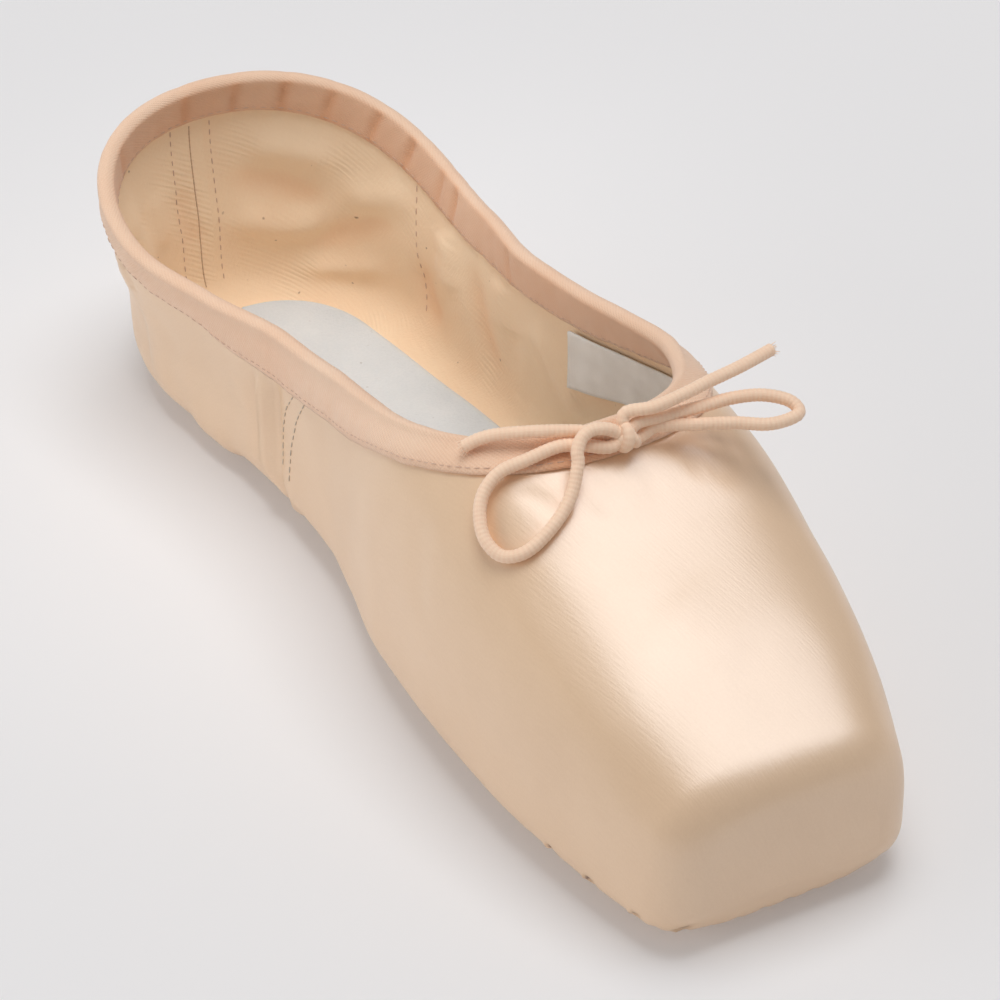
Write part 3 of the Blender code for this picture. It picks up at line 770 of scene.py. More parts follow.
def frayedEnd(tip, direction):
    # a tuft of loose fibres at a cut end
    tip, direction = np.array(tip), np.array(direction)
    side = np.cross(direction, (0.3, 0.2, 0.9))
    side /= np.linalg.norm(side)
    up = np.cross(direction, side)
    points, faces = [], []
    count, length = bow["frayCount"], bow["frayLength"]
    for i in range(count):
        angle = i * 2.399
        spread = 0.00105 * math.sqrt((i + 0.5) / count)
        root = tip + (side * math.cos(angle) + up * math.sin(angle)) * spread - direction * 0.0004
        lean = direction + (side * math.cos(angle) + up * math.sin(angle)) * (spread * 420)
        lean /= np.linalg.norm(lean)
        reach = length * (0.55 + 0.45 * math.sin(i * 1.7) ** 2)
        start = len(points)
        for share, thick in ((0.0, 0.00012), (0.55, 0.00010), (1.0, 0.00004)):
            centre = root + lean * (reach * share) + np.array((0, 0, -0.0002)) * share**2
            for k in range(5):
                turn = k * 2 * math.pi / 5
                points.append(centre + (side * math.cos(turn) + up * math.sin(turn)) * thick)
        faces += tubeFaces(3, 5, start=start)[0]
    return points, faces


def makeCord(name, key, isLoop):
    route = cordRoute(bow[key], isLoop)
    line, points, faces, uvs, depth = braidedTube(route, bow["diameter"] / 2, bow["around"], bow["step"])
    if not isLoop:
        direction = line[-1] - line[-8]
        tuft, tuftFaces = frayedEnd(line[-1], direction / np.linalg.norm(direction))
        offset = len(points)
        points = np.vstack([points, tuft])
        faces += [tuple(offset + i for i in face) for face in tuftFaces]
        uvs += [(0.0, 0.0)] * sum(len(face) for face in tuftFaces)
        depth = np.concatenate([depth, np.zeros(len(tuft))])
    obj = newPiece(name, points, faces, [cordBraid], uvs, paintedShade=depth)
    outward(obj)
    dress(obj, "bow_" + "_".join(reversed(key.split("_"))))
    length = float(np.linalg.norm(np.diff(line, axis=0), axis=1).sum())
    path = [tuple(p) for p in resample(line, max(15, min(120, int(length / 0.0012))))]
    return obj, line, length, path


cords = {}
for key in ("left_loop", "right_loop", "left_end", "right_end"):
    cords[key] = makeCord("cord_" + key, key, key.endswith("loop"))
    print("cord", key, "length", round(cords[key][2] * 1000, 1), "mm")


def makeKnot():
    heart = perch(bow["knot"])
    turns = np.linspace(0, 2 * math.pi, 60)
    reach, rise = 0.0016, 0.0018
    points, faces, uvs, depth = np.zeros((0, 3)), [], [], np.zeros(0)
    for lean, shift, size in ((0.25, -0.0002, 0.00125), (-0.55, 0.0010, 0.00105)):
        route = [shift + math.sin(lean) * np.sin(turns) * rise, np.cos(turns) * reach, np.sin(turns) * rise]
        route = np.stack(route, axis=1)
        _, p, f, u, d = braidedTube(heart + route, size, 36, 0.00018)
        faces += [tuple(len(points) + i for i in face) for face in f]
        points = np.vstack([points, p])
        uvs += u
        depth = np.concatenate([depth, d])
    obj = newPiece("bow_knot_wraps", points, faces, [cordBraid], uvs, paintedShade=depth)
    core = bmesh.new()
    core.from_mesh(obj.data)
    ball = bmesh.ops.create_uvsphere(core, u_segments=24, v_segments=16, radius=1.0)
    for vertex in ball["verts"]:
        vertex.co = Vector(heart) + Vector((vertex.co.x * 0.0023, vertex.co.y * 0.0019, vertex.co.z * 0.0018))
    bmesh.ops.recalc_face_normals(core, faces=core.faces)
    for face in core.faces:
        face.smooth = True
    core.to_mesh(obj.data)
    core.free()
    dress(obj, "bow_knot")
    return obj


knot = makeKnot()
for key, (obj, line, length, path) in cords.items():
    [knot] if key == "left_loop" else []
print("bow made")


# the upper: satin outside, cotton inside, with its creases as soft troughs and ridges

upper = {
    "underRows": 46,
    "sideRows": 46,
    "capRings": 16,
    "capCrown": 0.00045,
    "pleatDepth": 0.0010,
    "pleatWidth": 0.0009,
    "stillWithin": 0.0075,
    "stillFade": 0.0045,
}

# each crease is a run of (across, along, height) in mm, with its width and its height over the cloth
creases = [
    # the soft fold behind the near side seam
    (((-30, 155.8, 40), (-30, 155.6, 20), (-29, 156.5, 6)), 2.1, 1.9),
    (((-30, 151.2, 40), (-30, 151.2, 23), (-29.5, 152, 9)), 1.8, -1.15),
    (((-30.3, 160.6, 38), (-30, 160.2, 20), (-29.6, 160.6, 8)), 2.2, -1),
    (((-30, 166.5, 30), (-30, 166, 20)), 3.2, 0.35),
    # the gathers at its foot
    (((-29.9, 151.3, 15), (-28, 150, 6), (-24, 149.5, 2.6)), 1.3, -0.8),
    (((-29.9, 147, 11), (-28, 146.5, 5), (-24, 146.5, 2.6)), 1.3, 0.5),
    (((-29.9, 156.5, 11), (-28, 155, 5), (-24, 153.5, 2.6)), 1.5, -0.6),
    (((-29.9, 143.5, 9), (-28, 143.5, 4)), 1.4, -0.4),
    # the heel, drawn in low down
    (((-31.5, 196, 14), (-31, 204, 15), (-27, 214, 15)), 8, -0.9),
    (((31.5, 196, 14), (31, 204, 15), (27, 214, 15)), 8, -0.9),
    (((-33, 203, 34), (-31, 210, 31)), 7, 1),
    (((-28.5, 190, 3), (-27.5, 181, 3), (-27.5, 172, 4)), 7, 1.5),
    (((-34.3, 198, 34), (-32.4, 200.5, 20), (-31, 199.5, 8)), 3, 0.6),
    (((-34, 206, 34), (-31.5, 205.5, 20), (-29, 205, 8)), 3, -0.55),
    (((-33, 191, 30), (-31.5, 192.5, 18), (-30, 193, 7)), 3.2, -0.4),
    (((-24, 221, 34), (-23, 220, 16)), 3.4, 0.5),
    (((-18, 226, 30), (-17, 224.5, 12)), 2.6, -0.4),
    (((24, 221, 32), (22, 220.5, 14)), 3.4, 0.45),
    (((33.5, 200, 34), (31.5, 201, 14)), 3, -0.5),
    (((32, 192, 30), (31, 193, 12)), 3, 0.45),
    # the throat: small dents that run from the binding down the vamp
    (((-21, 70.5, 59), (-18, 64.5, 58.2), (-14, 58, 56)), 1.8, -0.35),
    (((-26.8, 72.5, 56.3), (-29.5, 65, 51.5), (-31, 57, 46)), 2.2, -0.35),
    (((-13, 66.5, 60.5), (-11.5, 60, 58.5), (-9, 54, 55.5)), 1.5, -0.25),
    (((-6, 64.5, 61), (-5, 57, 57.5)), 1.4, -0.20),
    (((3, 64.5, 61), (3.5, 56, 57)), 1.5, -0.22),
    (((12, 65.5, 60.5), (13.5, 57.5, 57)), 1.6, -0.25),
    (((22, 70, 58.5), (23, 60, 54)), 2, -0.35),
    (((-33.5, 84, 50), (-36, 78, 40), (-37.5, 74, 30)), 3.4, -0.45),
    (((33.5, 86, 50), (36, 80, 40), (37.5, 76, 30)), 3.4, -0.45),
    # the box: its shoulders and a hand's slight unevenness
    (((-31.5, 62, 49), (-30.5, 40, 42), (-26, 14, 30.5)), 4.2, 0.45),
    (((31.5, 62, 49), (30.5, 40, 42), (26, 14, 30.5)), 4.2, 0.40),
    (((-21.6, 1.2, 1.6), (0, 0.4, 1.2), (21.6, 1.2, 1.6)), 2.2, 0.8),
    (((-36.5, 58, 22), (-35, 34, 18)), 6, -0.35),
    (((36.5, 56, 22), (35, 32, 18)), 6, -0.30),
    (((-6, 40, 51), (4, 22, 42.5)), 8, 0.30),
    # the far side at the waist
    (((30, 152, 33), (29.8, 153, 14)), 2.6, -0.6),
    (((30, 157.5, 33), (29.6, 158, 12)), 2.8, 0.7),
    (((29.9, 148, 12), (28, 147, 4.5)), 1.4, -0.6),
    (((29.9, 154, 11), (28, 153, 4.5)), 1.4, -0.5),
]

# small nicks where the gathered satin stands off the box's lower edge, each with a painted shadow spot
nicks = [(-34.6, 30.9, 6), (-33, 20.2, 5.8), (-29.6, 8.2, 5.3), (-22.6, 0.4, 3.8), (25.4, 2.5, 4.2)]

# dents that show on the lining alone, with painted shade in their troughs
liningDents = [
    (((5, 231.3, 33), (14.4, 228.3, 29), (24, 221.5, 24)), 3.6, -0.9),
    (((3, 230.6, 22), (14.8, 227.2, 18.5), (24, 220, 19.5)), 3.6, 2),
    (((8, 231, 39), (16, 227.6, 37.5), (26, 219, 34)), 4, 1.6),
    (((17, 225.5, 12), (25, 218.3, 18.5), (31, 206, 27)), 3.4, -1),
    (((24, 219.5, 26), (29, 211, 29), (31.5, 203, 34)), 4, 1.5),
    (((15, 224.5, 7.5), (24.4, 217.9, 9.5), (30, 208, 13)), 3.2, 1.8),
    (((31.2, 200, 20), (31, 194, 12), (30, 187, 7)), 3.4, -0.9),
    (((30.8, 190, 34), (30.6, 184, 18)), 4.6, 1.6),
    (((30.4, 176, 34), (30.2, 170, 20), (29, 160, 9)), 3.4, -0.9),
    (((30.2, 165, 36), (30, 158, 22)), 4, 1.2),
    (((29.8, 150, 36), (30, 141, 24), (31, 132, 14)), 3.8, 1.5),
    (((31, 132, 36), (32, 124, 26)), 3.6, -0.8),
    (((-28, 214, 36), (-26, 215, 20)), 3.6, -0.8),
    (((-22, 222, 40), (-19.5, 224, 24), (-17, 224.5, 12)), 3.2, 1.2),
    (((-14, 228.5, 36), (-13, 227, 20)), 3, 0.9),
    (((-6, 231, 34), (-5, 229.5, 16)), 2.4, -0.7),
]


def upperStations():
    radius = last["platformRadius"]
    stations = []
    for i in range(11):
        turn = math.pi / 2 * i / 11
        stations.append((radius * (1 - math.cos(turn)), None, radius * (1 - math.sin(turn))))
    alongs = list(np.linspace(0.007, 0.036, 46)) + list(np.linspace(0.0368, 0.0722, 38))
    # close together where the collar's edge begins
    alongs += [last["throat"] + step for step in (
        -0.0004, 0.0, 0.00006, 0.0002, 0.0005, 0.0010, 0.0017, 0.0026, 0.0037, 0.0050, 0.0065, 0.0082, 0.0100)]
    alongs += list(np.linspace(0.0848, last["heelPivot"], 74))
    stations += [(along, None, 0.0) for along in alongs]
    stations += [(None, math.pi / 2 * i / 34, 0.0) for i in range(1, 35)]
    return stations


def halfSection(along, angle, inset):
    # a half section from underneath to the collar, and how far each point is from the crest
    if angle is None:
        width, middle, high, power = sectionSizes(along)
        width, low, high = width - inset, lowHeight(along) + inset, high - inset
        first = turnAtReach(openingHalf(along), width)
        flare, flareAlong = flareAt(along), along
        rim = along
    else:
        width, low, power = heelRadius(angle), 0.0, last["instepRoundness"]
        middle, high = waistHeight(last["length"]), topHeight(last["heelPivot"])
        first = turnAtReach(heelOpening(angle), width)
        flare, flareAlong = heelFlare(angle), last["length"]
        rim = last["heelPivot"] + (last["length"] - last["heelPivot"]) * math.sin(angle)
    final = math.pi / 2
    if rim > last["throat"]:
        final = turnAtHeight(float(edgeHeight(rim)), middle, high, power)
    runs = []
    for start, stop, rows in ((first, 0, upper["underRows"]), (0, final, upper["sideRows"])):
        turns = np.linspace(start, stop, 240)
        out, height = sectionPoint(width, low, middle, high, power, turns)
        out = out + widening(height, flareAlong, flare)
        runs.append(resample(np.stack([out, height], axis=1), rows + 1))
    run = np.vstack([runs[0], runs[1][1:]])
    out, height = sectionPoint(width, low, middle, high, power, np.linspace(final, math.pi / 2, 120))
    beyond = np.hypot(np.diff(out), np.diff(height)).sum()
    steps = np.hypot(np.diff(run[:, 0]), np.diff(run[:, 1]))
    reach = beyond + np.concatenate((np.cumsum(steps[::-1])[::-1], [0.0]))
    if angle is None:
        points = np.stack([run[:, 0], np.full(len(run), along), run[:, 1]], axis=1)
    else:
        ahead = last["heelPivot"] + run[:, 0] * math.sin(angle)
        points = np.stack([run[:, 0] * math.cos(angle), ahead, run[:, 1]], axis=1)
    return points, reach


def nearPath(points, path):
    best, share = np.full(len(points), 9.0), np.zeros(len(points))
    for i in range(len(path) - 1):
        a, ab = path[i], path[i + 1] - path[i]
        t = np.clip(((points - a) @ ab) / (ab @ ab), 0, 1)
        distance = np.linalg.norm(points - (a + t[:, None] * ab), axis=1)
        closer = distance < best
        best[closer] = distance[closer]
        share[closer] = (i + t[closer]) / (len(path) - 1)
    return best, share


def crease(points, path, width, amount, fade=0.3):
    # the path is first laid onto the cloth
    dense = resample(np.array(path, float) / 1000, 14)
    dense = np.array([points[np.argmin(((points - p) ** 2).sum(1))] for p in dense])
    dense[1:-1] = dense[1:-1] * 0.5 + (dense[:-2] + dense[2:]) * 0.25
    dense = np.array([p for i, p in enumerate(dense) if i == 0 or np.linalg.norm(p - dense[i - 1]) > 0.0003])
    if len(dense) < 2:
        return np.zeros(len(points))
    distance, share = nearPath(points, dense)
    ends = np.clip(np.minimum(share, 1 - share) / fade, 0, 1)
    ends = ends * ends * (3 - 2 * ends) * 0.9 + 0.1
    return amount / 1000 * np.exp(-((distance / (width / 1000)) ** 2)) * ends


def pleatPaths():
    # the satin gathered under the box: each pleat runs from the wall round to the sole's edge
    paths = []
    for i, across in enumerate((-21.9, -16.0, -10.5, -5.0, 0.8, 6.0, 11.5, 16.5, 21.5)):
        start = abs(across) * 0.06
        top = 5.5 if i in (0, 8) else 1.9
        paths.append(((across, start, top), (across * 0.97, start + 2.0, 2.0), (across * 0.72, 12.0, 1.2),
                      (across * 0.5, 21.5, 0.6)))
    for side in (-1, 1):
        for k, along in enumerate((5.5, 12.5, 20.2, 27.0, 30.9, 38.5, 46.0, 54.5, 63.0, 72.0, 81.5)):
            along += 1.2 * math.sin(k * 2.3 + side)
            wide = float(halfWidth(along / 1000)) * 1000
            high = 5.4 if side < 0 and k in (0, 2, 4) else 3.2
            end = min(92.0, max(24.0, along + (26 - along) * 0.45 if along < 26 else along + 3.0))
            inner = float(outlineHalf(sole, end / 1000)) * 1000
            between = (wide * 0.55 + inner * 0.45, (along + end) / 2, 0.8)
            path = ((wide, along, high), (wide * 0.985, along, 3.2), between, (inner, end, 0.2))
            paths.append([(side * x, y, z) for x, y, z in path])
    return paths


# the binding: a folded tape puffed by the drawstring inside it

binding = {
    "gap": 0.0002,
    "thickness": 0.0006,
    "roll": 0.0012,
    "depth": 0.0090,
    "innerDepth": 0.0085,
    "puff": 0.00032,
    # along as a share of the length, and the depth there as a share of "depth"
    "outerDepths": np.array([
        (0.315, 0.82), (0.370, 0.74), (0.430, 0.76), (0.510, 0.98), (0.570, 1.06), (0.650, 1.12), (0.715, 1.06),
        (0.780, 0.80), (0.850, 0.78), (1.000, 0.94)]),
    "step": 0.0007,
    # where the drawstring draws the tape in: metres along the loop, and strength
    "gathers": [
        (0.030, 0.5), (0.052, 0.4), (0.118, 0.5), (0.150, 0.9), (0.158, 0.7), (0.172, 1.0), (0.184, 0.9),
        (0.197, 0.8), (0.209, 1.0), (0.222, 0.9), (0.236, 0.8), (0.262, 0.5), (0.300, 0.4), (0.345, 0.4),
        (0.380, 0.5), (0.420, 0.4)],
}


def edgeHalf():
    throat, pivot = last["throat"], last["heelPivot"]
    alongs = [throat + 0.00001 * 1.22**i for i in range(48)]
    alongs = [along for along in alongs if along < 0.1] + list(np.linspace(0.1, pivot, 120))
    points = [(0.0, throat, float(topHeight(throat)))]
    for along in alongs:
        width, middle, high, power = sectionSizes(along)
        turn = turnAtHeight(float(edgeHeight(along)), middle, high, power)
        out, height = sectionPoint(width, 0.0, middle, high, power, np.array([turn]))
        points.append((float(out[0] + widening(height[0], along, flareAt(along))), along, float(height[0])))
    for i in range(1, 61):
        angle = math.pi / 2 * i / 60
        run, _ = halfSection(None, angle, 0.0)
        points.append(tuple(run[-1]))
    return np.array(points)


def edgeLoop(step):
    half = edgeHalf()
    length = np.linalg.norm(np.diff(half, axis=0), axis=1).sum()
    half = resample(half, int(length / step))
    other = half[1:-1][::-1] * np.array((-1, 1, 1))
    return np.vstack([half, other])


def makeUpper():
    stations = upperStations()
    columns = [halfSection(*station) for station in stations]
    middleRow = upper["underRows"]
    radius = last["platformRadius"]
    lengthAt = []
    for i, (along, angle, _) in enumerate(stations):
        if along is not None and along < radius:
            lengthAt.append(radius - radius * (math.pi / 2) * (1 - i / 11))
        elif angle is None:
            lengthAt.append(along)
        else:
            step = np.linalg.norm(columns[i][0][middleRow] - columns[i - 1][0][middleRow])
            lengthAt.append(lengthAt[-1] + step)
    rows = len(columns[0][0])
    points, faces, uvs = [], [], []
    for side, corners in ((-1, plain[::-1]), (1, plain)):
        start = len(points)
        for column, _ in columns:
            points += [(side * p[0], p[1], p[2]) for p in column]

        def clothAt(a, b):
            return (side * columns[a][1][b], lengthAt[a])

        found, foundUvs = gridFaces(len(columns), rows, clothAt, start, corners)
        faces += found
        uvs += foundUvs
    # the platform, in rings towards its middle
    border = [(1, k) for k in range(rows)] + [(-1, k) for k in range(rows - 2, 0, -1)]
    front = columns[0][0]
    rim = np.array([(side * front[k][0], front[k][1], front[k][2]) for side, k in border])
    centre = np.array((0.0, 0.0, (rim[:, 2].min() + rim[:, 2].max()) / 2))
    crest = rim[:, 2].max()
    rings = upper["capRings"]
    start = len(points)
    for r in range(rings):
        share = 1 - r / rings
        for p in rim:
            q = centre + (p - centre) * share
            points.append((q[0], -upper["capCrown"] * (1 - share**2), q[2]))
    points.append((0.0, -upper["capCrown"], centre[2]))

    def capUv(index):
        x, _, z = points[index]
        return (x, lengthAt[0] - (crest - z))

    n = len(border)
    found, foundUvs = gridFaces(
        rings, n, lambda a, b: capUv(start + a * n + b % n), start, turned, wrapColumns=True)
    faces += found
    uvs += foundUvs
    inmost = start + (rings - 1) * n
    for k in range(n):
        face = (inmost + k, inmost + n, inmost + (k + 1) % n)
        faces.append(face)
        uvs += [capUv(index) for index in face]
    bm = bmesh.new()
    layer = bm.loops.layers.uv.new("cloth")
    made = [bm.verts.new(p) for p in points]
    corner = iter(uvs)
    for face in faces:
        for loop in bm.faces.new([made[i] for i in face]).loops:
            loop[layer].uv = next(corner)
    bmesh.ops.remove_doubles(bm, verts=bm.verts, dist=0.00001)
    bmesh.ops.dissolve_degenerate(bm, edges=bm.edges, dist=0.00001)
    bmesh.ops.recalc_face_normals(bm, faces=bm.faces)
    bm.faces.ensure_lookup_table()
    frontFace = min(bm.faces, key=lambda face: face.calc_center_median().y)
    if frontFace.normal.y > 0:
        bmesh.ops.reverse_faces(bm, faces=bm.faces)
    bm.normal_update()
    bm.verts.index_update()
    outer = np.array([v.co[:] for v in bm.verts])
    normals = np.array([v.normal[:] for v in bm.verts])
    shift = np.zeros(len(outer))
    # fold is painted shade: the satin is darkened in the troughs of creases and pleats
    fold = np.zeros(len(outer))
    for path, width, amount in creases:
        bend = crease(outer, path, width, amount)
        shift += bend
        fold += np.maximum(0.0, -bend) * 120
    for path in pleatPaths():
        bend = crease(outer, path, upper["pleatWidth"] * 1000, -upper["pleatDepth"] * 1000, 0.22)
        beside = [(x + 1.1, y + 0.9, z) for x, y, z in path]
        shift += bend + crease(outer, beside, 1.3, 0.40, 0.3)
        fold += np.maximum(0.0, -bend) * 900
    # each nick's fold value rises above 1, which paints a dark shadow spot into the satin
    for across, along, high in nicks:
        spot = ((across, along, high), (across * 0.98, along + 0.5, high - 2.2))
        beside = [(x, y + 1.3, z) for x, y, z in spot]
        shift += crease(outer, spot, 0.85, -1.4) + crease(outer, beside, 0.9, 0.5)
        fold += crease(outer, spot, 0.9, 5000.0)
    # the cloth's slight unevenness, most on the soft quarters
    low = np.array([noise.noise(Vector(p) * 42) for p in outer])
    mid = np.array([noise.noise(Vector(p) * 120 + Vector((7, 3, 1))) for p in outer])
    soft = np.clip((outer[:, 1] - 0.080) / 0.06, 0.25, 1.0)
    shift += low * 0.0005 * soft + mid * 0.00012 * soft
    dents = np.zeros(len(outer))
    for path, width, amount in liningDents:
        dents += crease(outer, path, width, amount)
    # the cloth lies still under the binding
    rim = edgeLoop(0.0015)
    below = np.full(len(outer), 1.0)
    for spot in rim:
        below = np.minimum(below, ((outer - spot) ** 2).sum(1))
    free = np.clip((np.sqrt(below) - upper["stillWithin"]) / upper["stillFade"], 0, 1)
    free = 0.12 + 0.88 * free * free * (3 - 2 * free)
    shift *= free
    dents *= free
    wall = wallAt(outer[:, 1])
    body = outer + normals * shift[:, None]
    inner = outer + normals * (shift * 0.6 - wall - dents)[:, None]
    count = len(outer)
    allFaces, allUvs, slots = [], [], []
    for face in bm.faces:
        ids = [v.index for v in face.verts]
        spots = [tuple(loop[layer].uv) for loop in face.loops]
        allFaces.append(ids)
        allUvs += spots
        slots.append(0)
        allFaces.append([count + i for i in reversed(ids)])
        allUvs += list(reversed(spots))
        slots.append(1)
    for edge in bm.edges:
        if edge.is_boundary:
            loop = edge.link_loops[0]
            a, b = loop.vert.index, loop.link_loop_next.vert.index
            uvA, uvB = tuple(loop[layer].uv), tuple(loop.link_loop_next[layer].uv)
            allFaces.append([b, a, count + a, count + b])
            allUvs += [uvB, uvA, uvA, uvB]
            slots.append(1)
    bm.free()
    vertices = placed(np.vstack([body, inner]))
    # the satin's painted shade from fold, then the lining's painted shade in the troughs of its dents
    paintedShade = np.concatenate([np.clip(fold, 0, 2), np.clip(-dents * 700, 0, 0.9)])
    materials = [satinCloth, liningCotton]
    obj = newPiece("upper_satin_and_lining", vertices, allFaces, materials, allUvs, slots, paintedShade)
    dress(obj, "upper")
    spots = [Vector(v) for v in vertices]
    trees = []
    for wanted in (0, 1):
        chosen = [face for face, slotIndex in zip(allFaces, slots) if slotIndex == wanted]
        trees.append(BVHTree.FromPolygons(spots, chosen))
    return obj, *trees


upperPiece, outerTree, innerTree = makeUpper()
print("upper made", len(upperPiece.data.polygons), "faces")


def edgeFrames(loop):
    ahead = np.roll(loop, -1, axis=0) - np.roll(loop, 1, axis=0)
    edge, normal = ontoLast(loop)
    tangent = ahead - normal * (ahead * normal).sum(1)[:, None]
    tangent /= np.linalg.norm(tangent, axis=1)[:, None]
    away = np.cross(tangent, normal)
    return edge, normal, away


def makeBinding():
    loop = edgeLoop(binding["step"])
    edge, normal, away = edgeFrames(loop)
    count = len(loop)
    distance = np.concatenate(([0.0], np.cumsum(np.linalg.norm(np.diff(edge, axis=0), axis=1))))
    around = distance[-1] + np.linalg.norm(edge[0] - edge[-1])
    deep = smoothCurve(binding["outerDepths"], 1, edge[:, 1]) * binding["depth"]
    deep = deep + 0.00022 * noiseAlong(distance, 260, 3.1)
    thick = wallAt(edge[:, 1])
    gap, tape, roll = binding["gap"], binding["thickness"], binding["roll"]
    outside = gap + tape
    gather = np.zeros(count)
    for spot, strength in binding["gathers"]:
        gather += strength * np.exp(-(((distance / around * 0.460 - spot) / 0.0014) ** 2))
    rings, one = [], np.ones(count)

    def leg(reach, depth):
        points, outwards = ontoLast(edge + away * (reach * one)[:, None])
        inside = wallAt(points[:, 1])
        depth = np.where(depth > 0, depth, depth - inside)
        rings.append(points + outwards * depth[:, None])

    def fold(depth, height):
        rings.append(edge + normal * (depth * one)[:, None] - away * (height * one)[:, None])

    wrinkle = noiseAlong(distance, 330, 0.4)
    for share in np.linspace(1, 0, 13)[:-1]:
        bulge = binding["puff"] * math.sin(math.pi * min(1.0, (1 - share) * 1.25 + 0.12)) ** 0.8
        pressed = 0.45 + 0.55 * min(1.0, (1 - share) * 6)
        ripple = noiseAlong(distance, 300, share * 2.2, 5) * 0.00022
        ripple = ripple * math.sin(math.pi * min(1.0, 1.15 - share))
        leg(deep * share, outside * pressed + bulge + ripple - gather * 0.00015 * (1 - share * 0.7))
    dip = gather * 0.00012 - wrinkle * 0.00005
    fold(outside + binding["puff"] * 0.75 - dip, 0)
    fold(outside * 0.88 + binding["puff"] * 0.5 - thick * 0.03 - dip, roll * 0.5 - dip * 0.5)
    fold(outside * 0.6 - thick * 0.1, roll * 0.85 - dip)
    fold(-thick / 2 + outside * 0.25, roll * 1.06 - dip)
    fold(-thick / 2 - outside * 0.25, roll * 1.06 - dip)
    fold(-thick - outside * 0.5, roll * 0.85 - dip)
    fold(-thick - outside * 0.9 - binding["puff"] * 0.3, roll * 0.45 - dip * 0.5)
    fold(-thick - outside - binding["puff"] * 0.5, gap)
    for share in np.linspace(0, 1, 10)[1:]:
        swell = math.sin(math.pi * min(1.0, share * 0.9 + 0.1))
        ripple = noiseAlong(distance, 300, 4 + share * 2.2, 9) * 0.0002
        pressed = 1.0 if share < 0.9 else 0.75
        depth = -outside * pressed - binding["puff"] * 0.7 * swell - ripple + gather * 0.0009 * swell
        leg(binding["innerDepth"] * share, depth)
    leg(binding["innerDepth"], -gap * one)
    leg(binding["innerDepth"] * 0.5, -gap * one)
    fold(-thick - gap, gap * 1.4)
    fold(-thick / 2, gap * 1.8)
    fold(gap, 0)
    leg(deep * 0.45, gap * one)
    leg(deep * 0.97, gap * 0.6 * one)
    grid = np.array(rings)
    steps = np.linalg.norm(np.diff(grid[:, 0], axis=0), axis=1)
    down = np.concatenate(([0.0], np.cumsum(steps)))
    m = len(grid)
    points = grid.transpose(1, 0, 2).reshape(-1, 3)
    distance, down = np.append(distance, around), np.append(down, down[-1] + 0.001)
    faces, uvs = gridFaces(count, m, lambda a, b: (distance[a], down[b]), wrapRows=True, wrapColumns=True)
    # painted shade: the tape's inner face is darkened in its puckers
    shade = (np.clip(gather * 0.5, 0, 0.6)[:, None] * (np.arange(m) > 17)).ravel()
    # painted shadow of the bow on the outer tape at the throat
    behind = np.exp(-(((edge[:, 0] + 0.006) / 0.007) ** 2)) * (edge[:, 1] < 0.085)
    shade = shade + (behind[:, None] * 1.3 * (np.arange(m) < 12)).ravel()
    # painted shade: the whole inner face of the tape is darker than the outer
    shade = shade + np.tile((np.arange(m) > 17) * 0.3, count)
    obj = newPiece("binding_tape", placed(points), faces, [bindingTwill], uvs, paintedShade=shade)
    outward(obj)
    dress(obj, "binding")
    return obj, edge, away, deep


bindingPiece, edge, edgeAway, edgeDeep = makeBinding()
bindingTree = BVHTree.FromObject(bindingPiece, bpy.context.evaluated_depsgraph_get())
print("binding made", len(bindingPiece.data.polygons), "faces")

# the outsole and the insole

sheetShares = np.concatenate([-1 + 0.012 * np.arange(4) ** 1.6, np.linspace(-0.90, 0.90, 33),
                              1 - 0.012 * np.arange(4)[::-1] ** 1.6])


def sheetStations(part, count):
    ends = part["endLength"] * (1 - np.cos(np.radians(np.linspace(4, 84, 17))))
    middle = np.linspace(part["front"] + part["endLength"], part["back"] - part["endLength"], count)
    return np.concatenate([part["front"] + ends, middle, (part["back"] - ends)[::-1]])


def makeSheet(name, part, lower, higher, material, node):
    stations = sheetStations(part, 130)
    layers = []
    for height in (lower, higher):
        for along in stations:
            alongs = np.full(len(sheetShares), along)
            across = sheetShares * outlineHalf(part, along)
            layers.append(np.stack([across, alongs, height(sheetShares, alongs)], axis=1))
    faces, _ = slabFaces(len(stations), len(sheetShares))
    obj = newPiece(name, placed(np.vstack(layers)), faces, [material])
    outward(obj)
    dress(obj, node)


def skive(shares):
    return np.clip((np.abs(shares) - 0.80) / 0.20, 0, 1) ** 2


def soleLower(shares, alongs):
    arch = lowHeight(alongs)
    lift = sole["edgeLift"] * skive(shares)
    # a shallow stitched channel just inside the edge
    channel = 0.00028 * np.exp(-(((np.abs(shares) - 0.86) / 0.022) ** 2))
    return arch - sole["thickness"] - last["gap"] + lift + channel


def soleHigher(shares, alongs):
    return outerHeight(shares * outlineHalf(sole, alongs), alongs) - last["gap"]


def insoleLower(shares, alongs):
    return outerHeight(shares * outlineHalf(insole, alongs), alongs) + wallAt(alongs) * 1.03 + last["gap"]


def insoleHigher(shares, alongs):
    worn = 0.45 * np.clip((np.abs(shares) - 0.93) / 0.07, 0, 1) ** 2
    waves = np.array([noise.noise(Vector((s * 3, a * 60, 2))) for s, a in zip(shares, alongs)]) * 0.00022
    return insoleLower(shares, alongs) + insole["thickness"] * (1 - worn) + waves * (1 - worn)


makeSheet("outsole_leather", sole, soleLower, soleHigher, soleGrain, "outsole")
makeSheet("insole_suede_board", insole, insoleLower, insoleHigher, insoleSuede, "insole")
print("soles made")

# the blank label, sewn at its front edge, its back edge standing off the lining

label = {
    "front": 0.0990,
    "back": 0.1340,
    "drop": 0.0135,
    "thickness": 0.0004,
    "curl": 0.0011,
    "belowBinding": 0.0010,
}


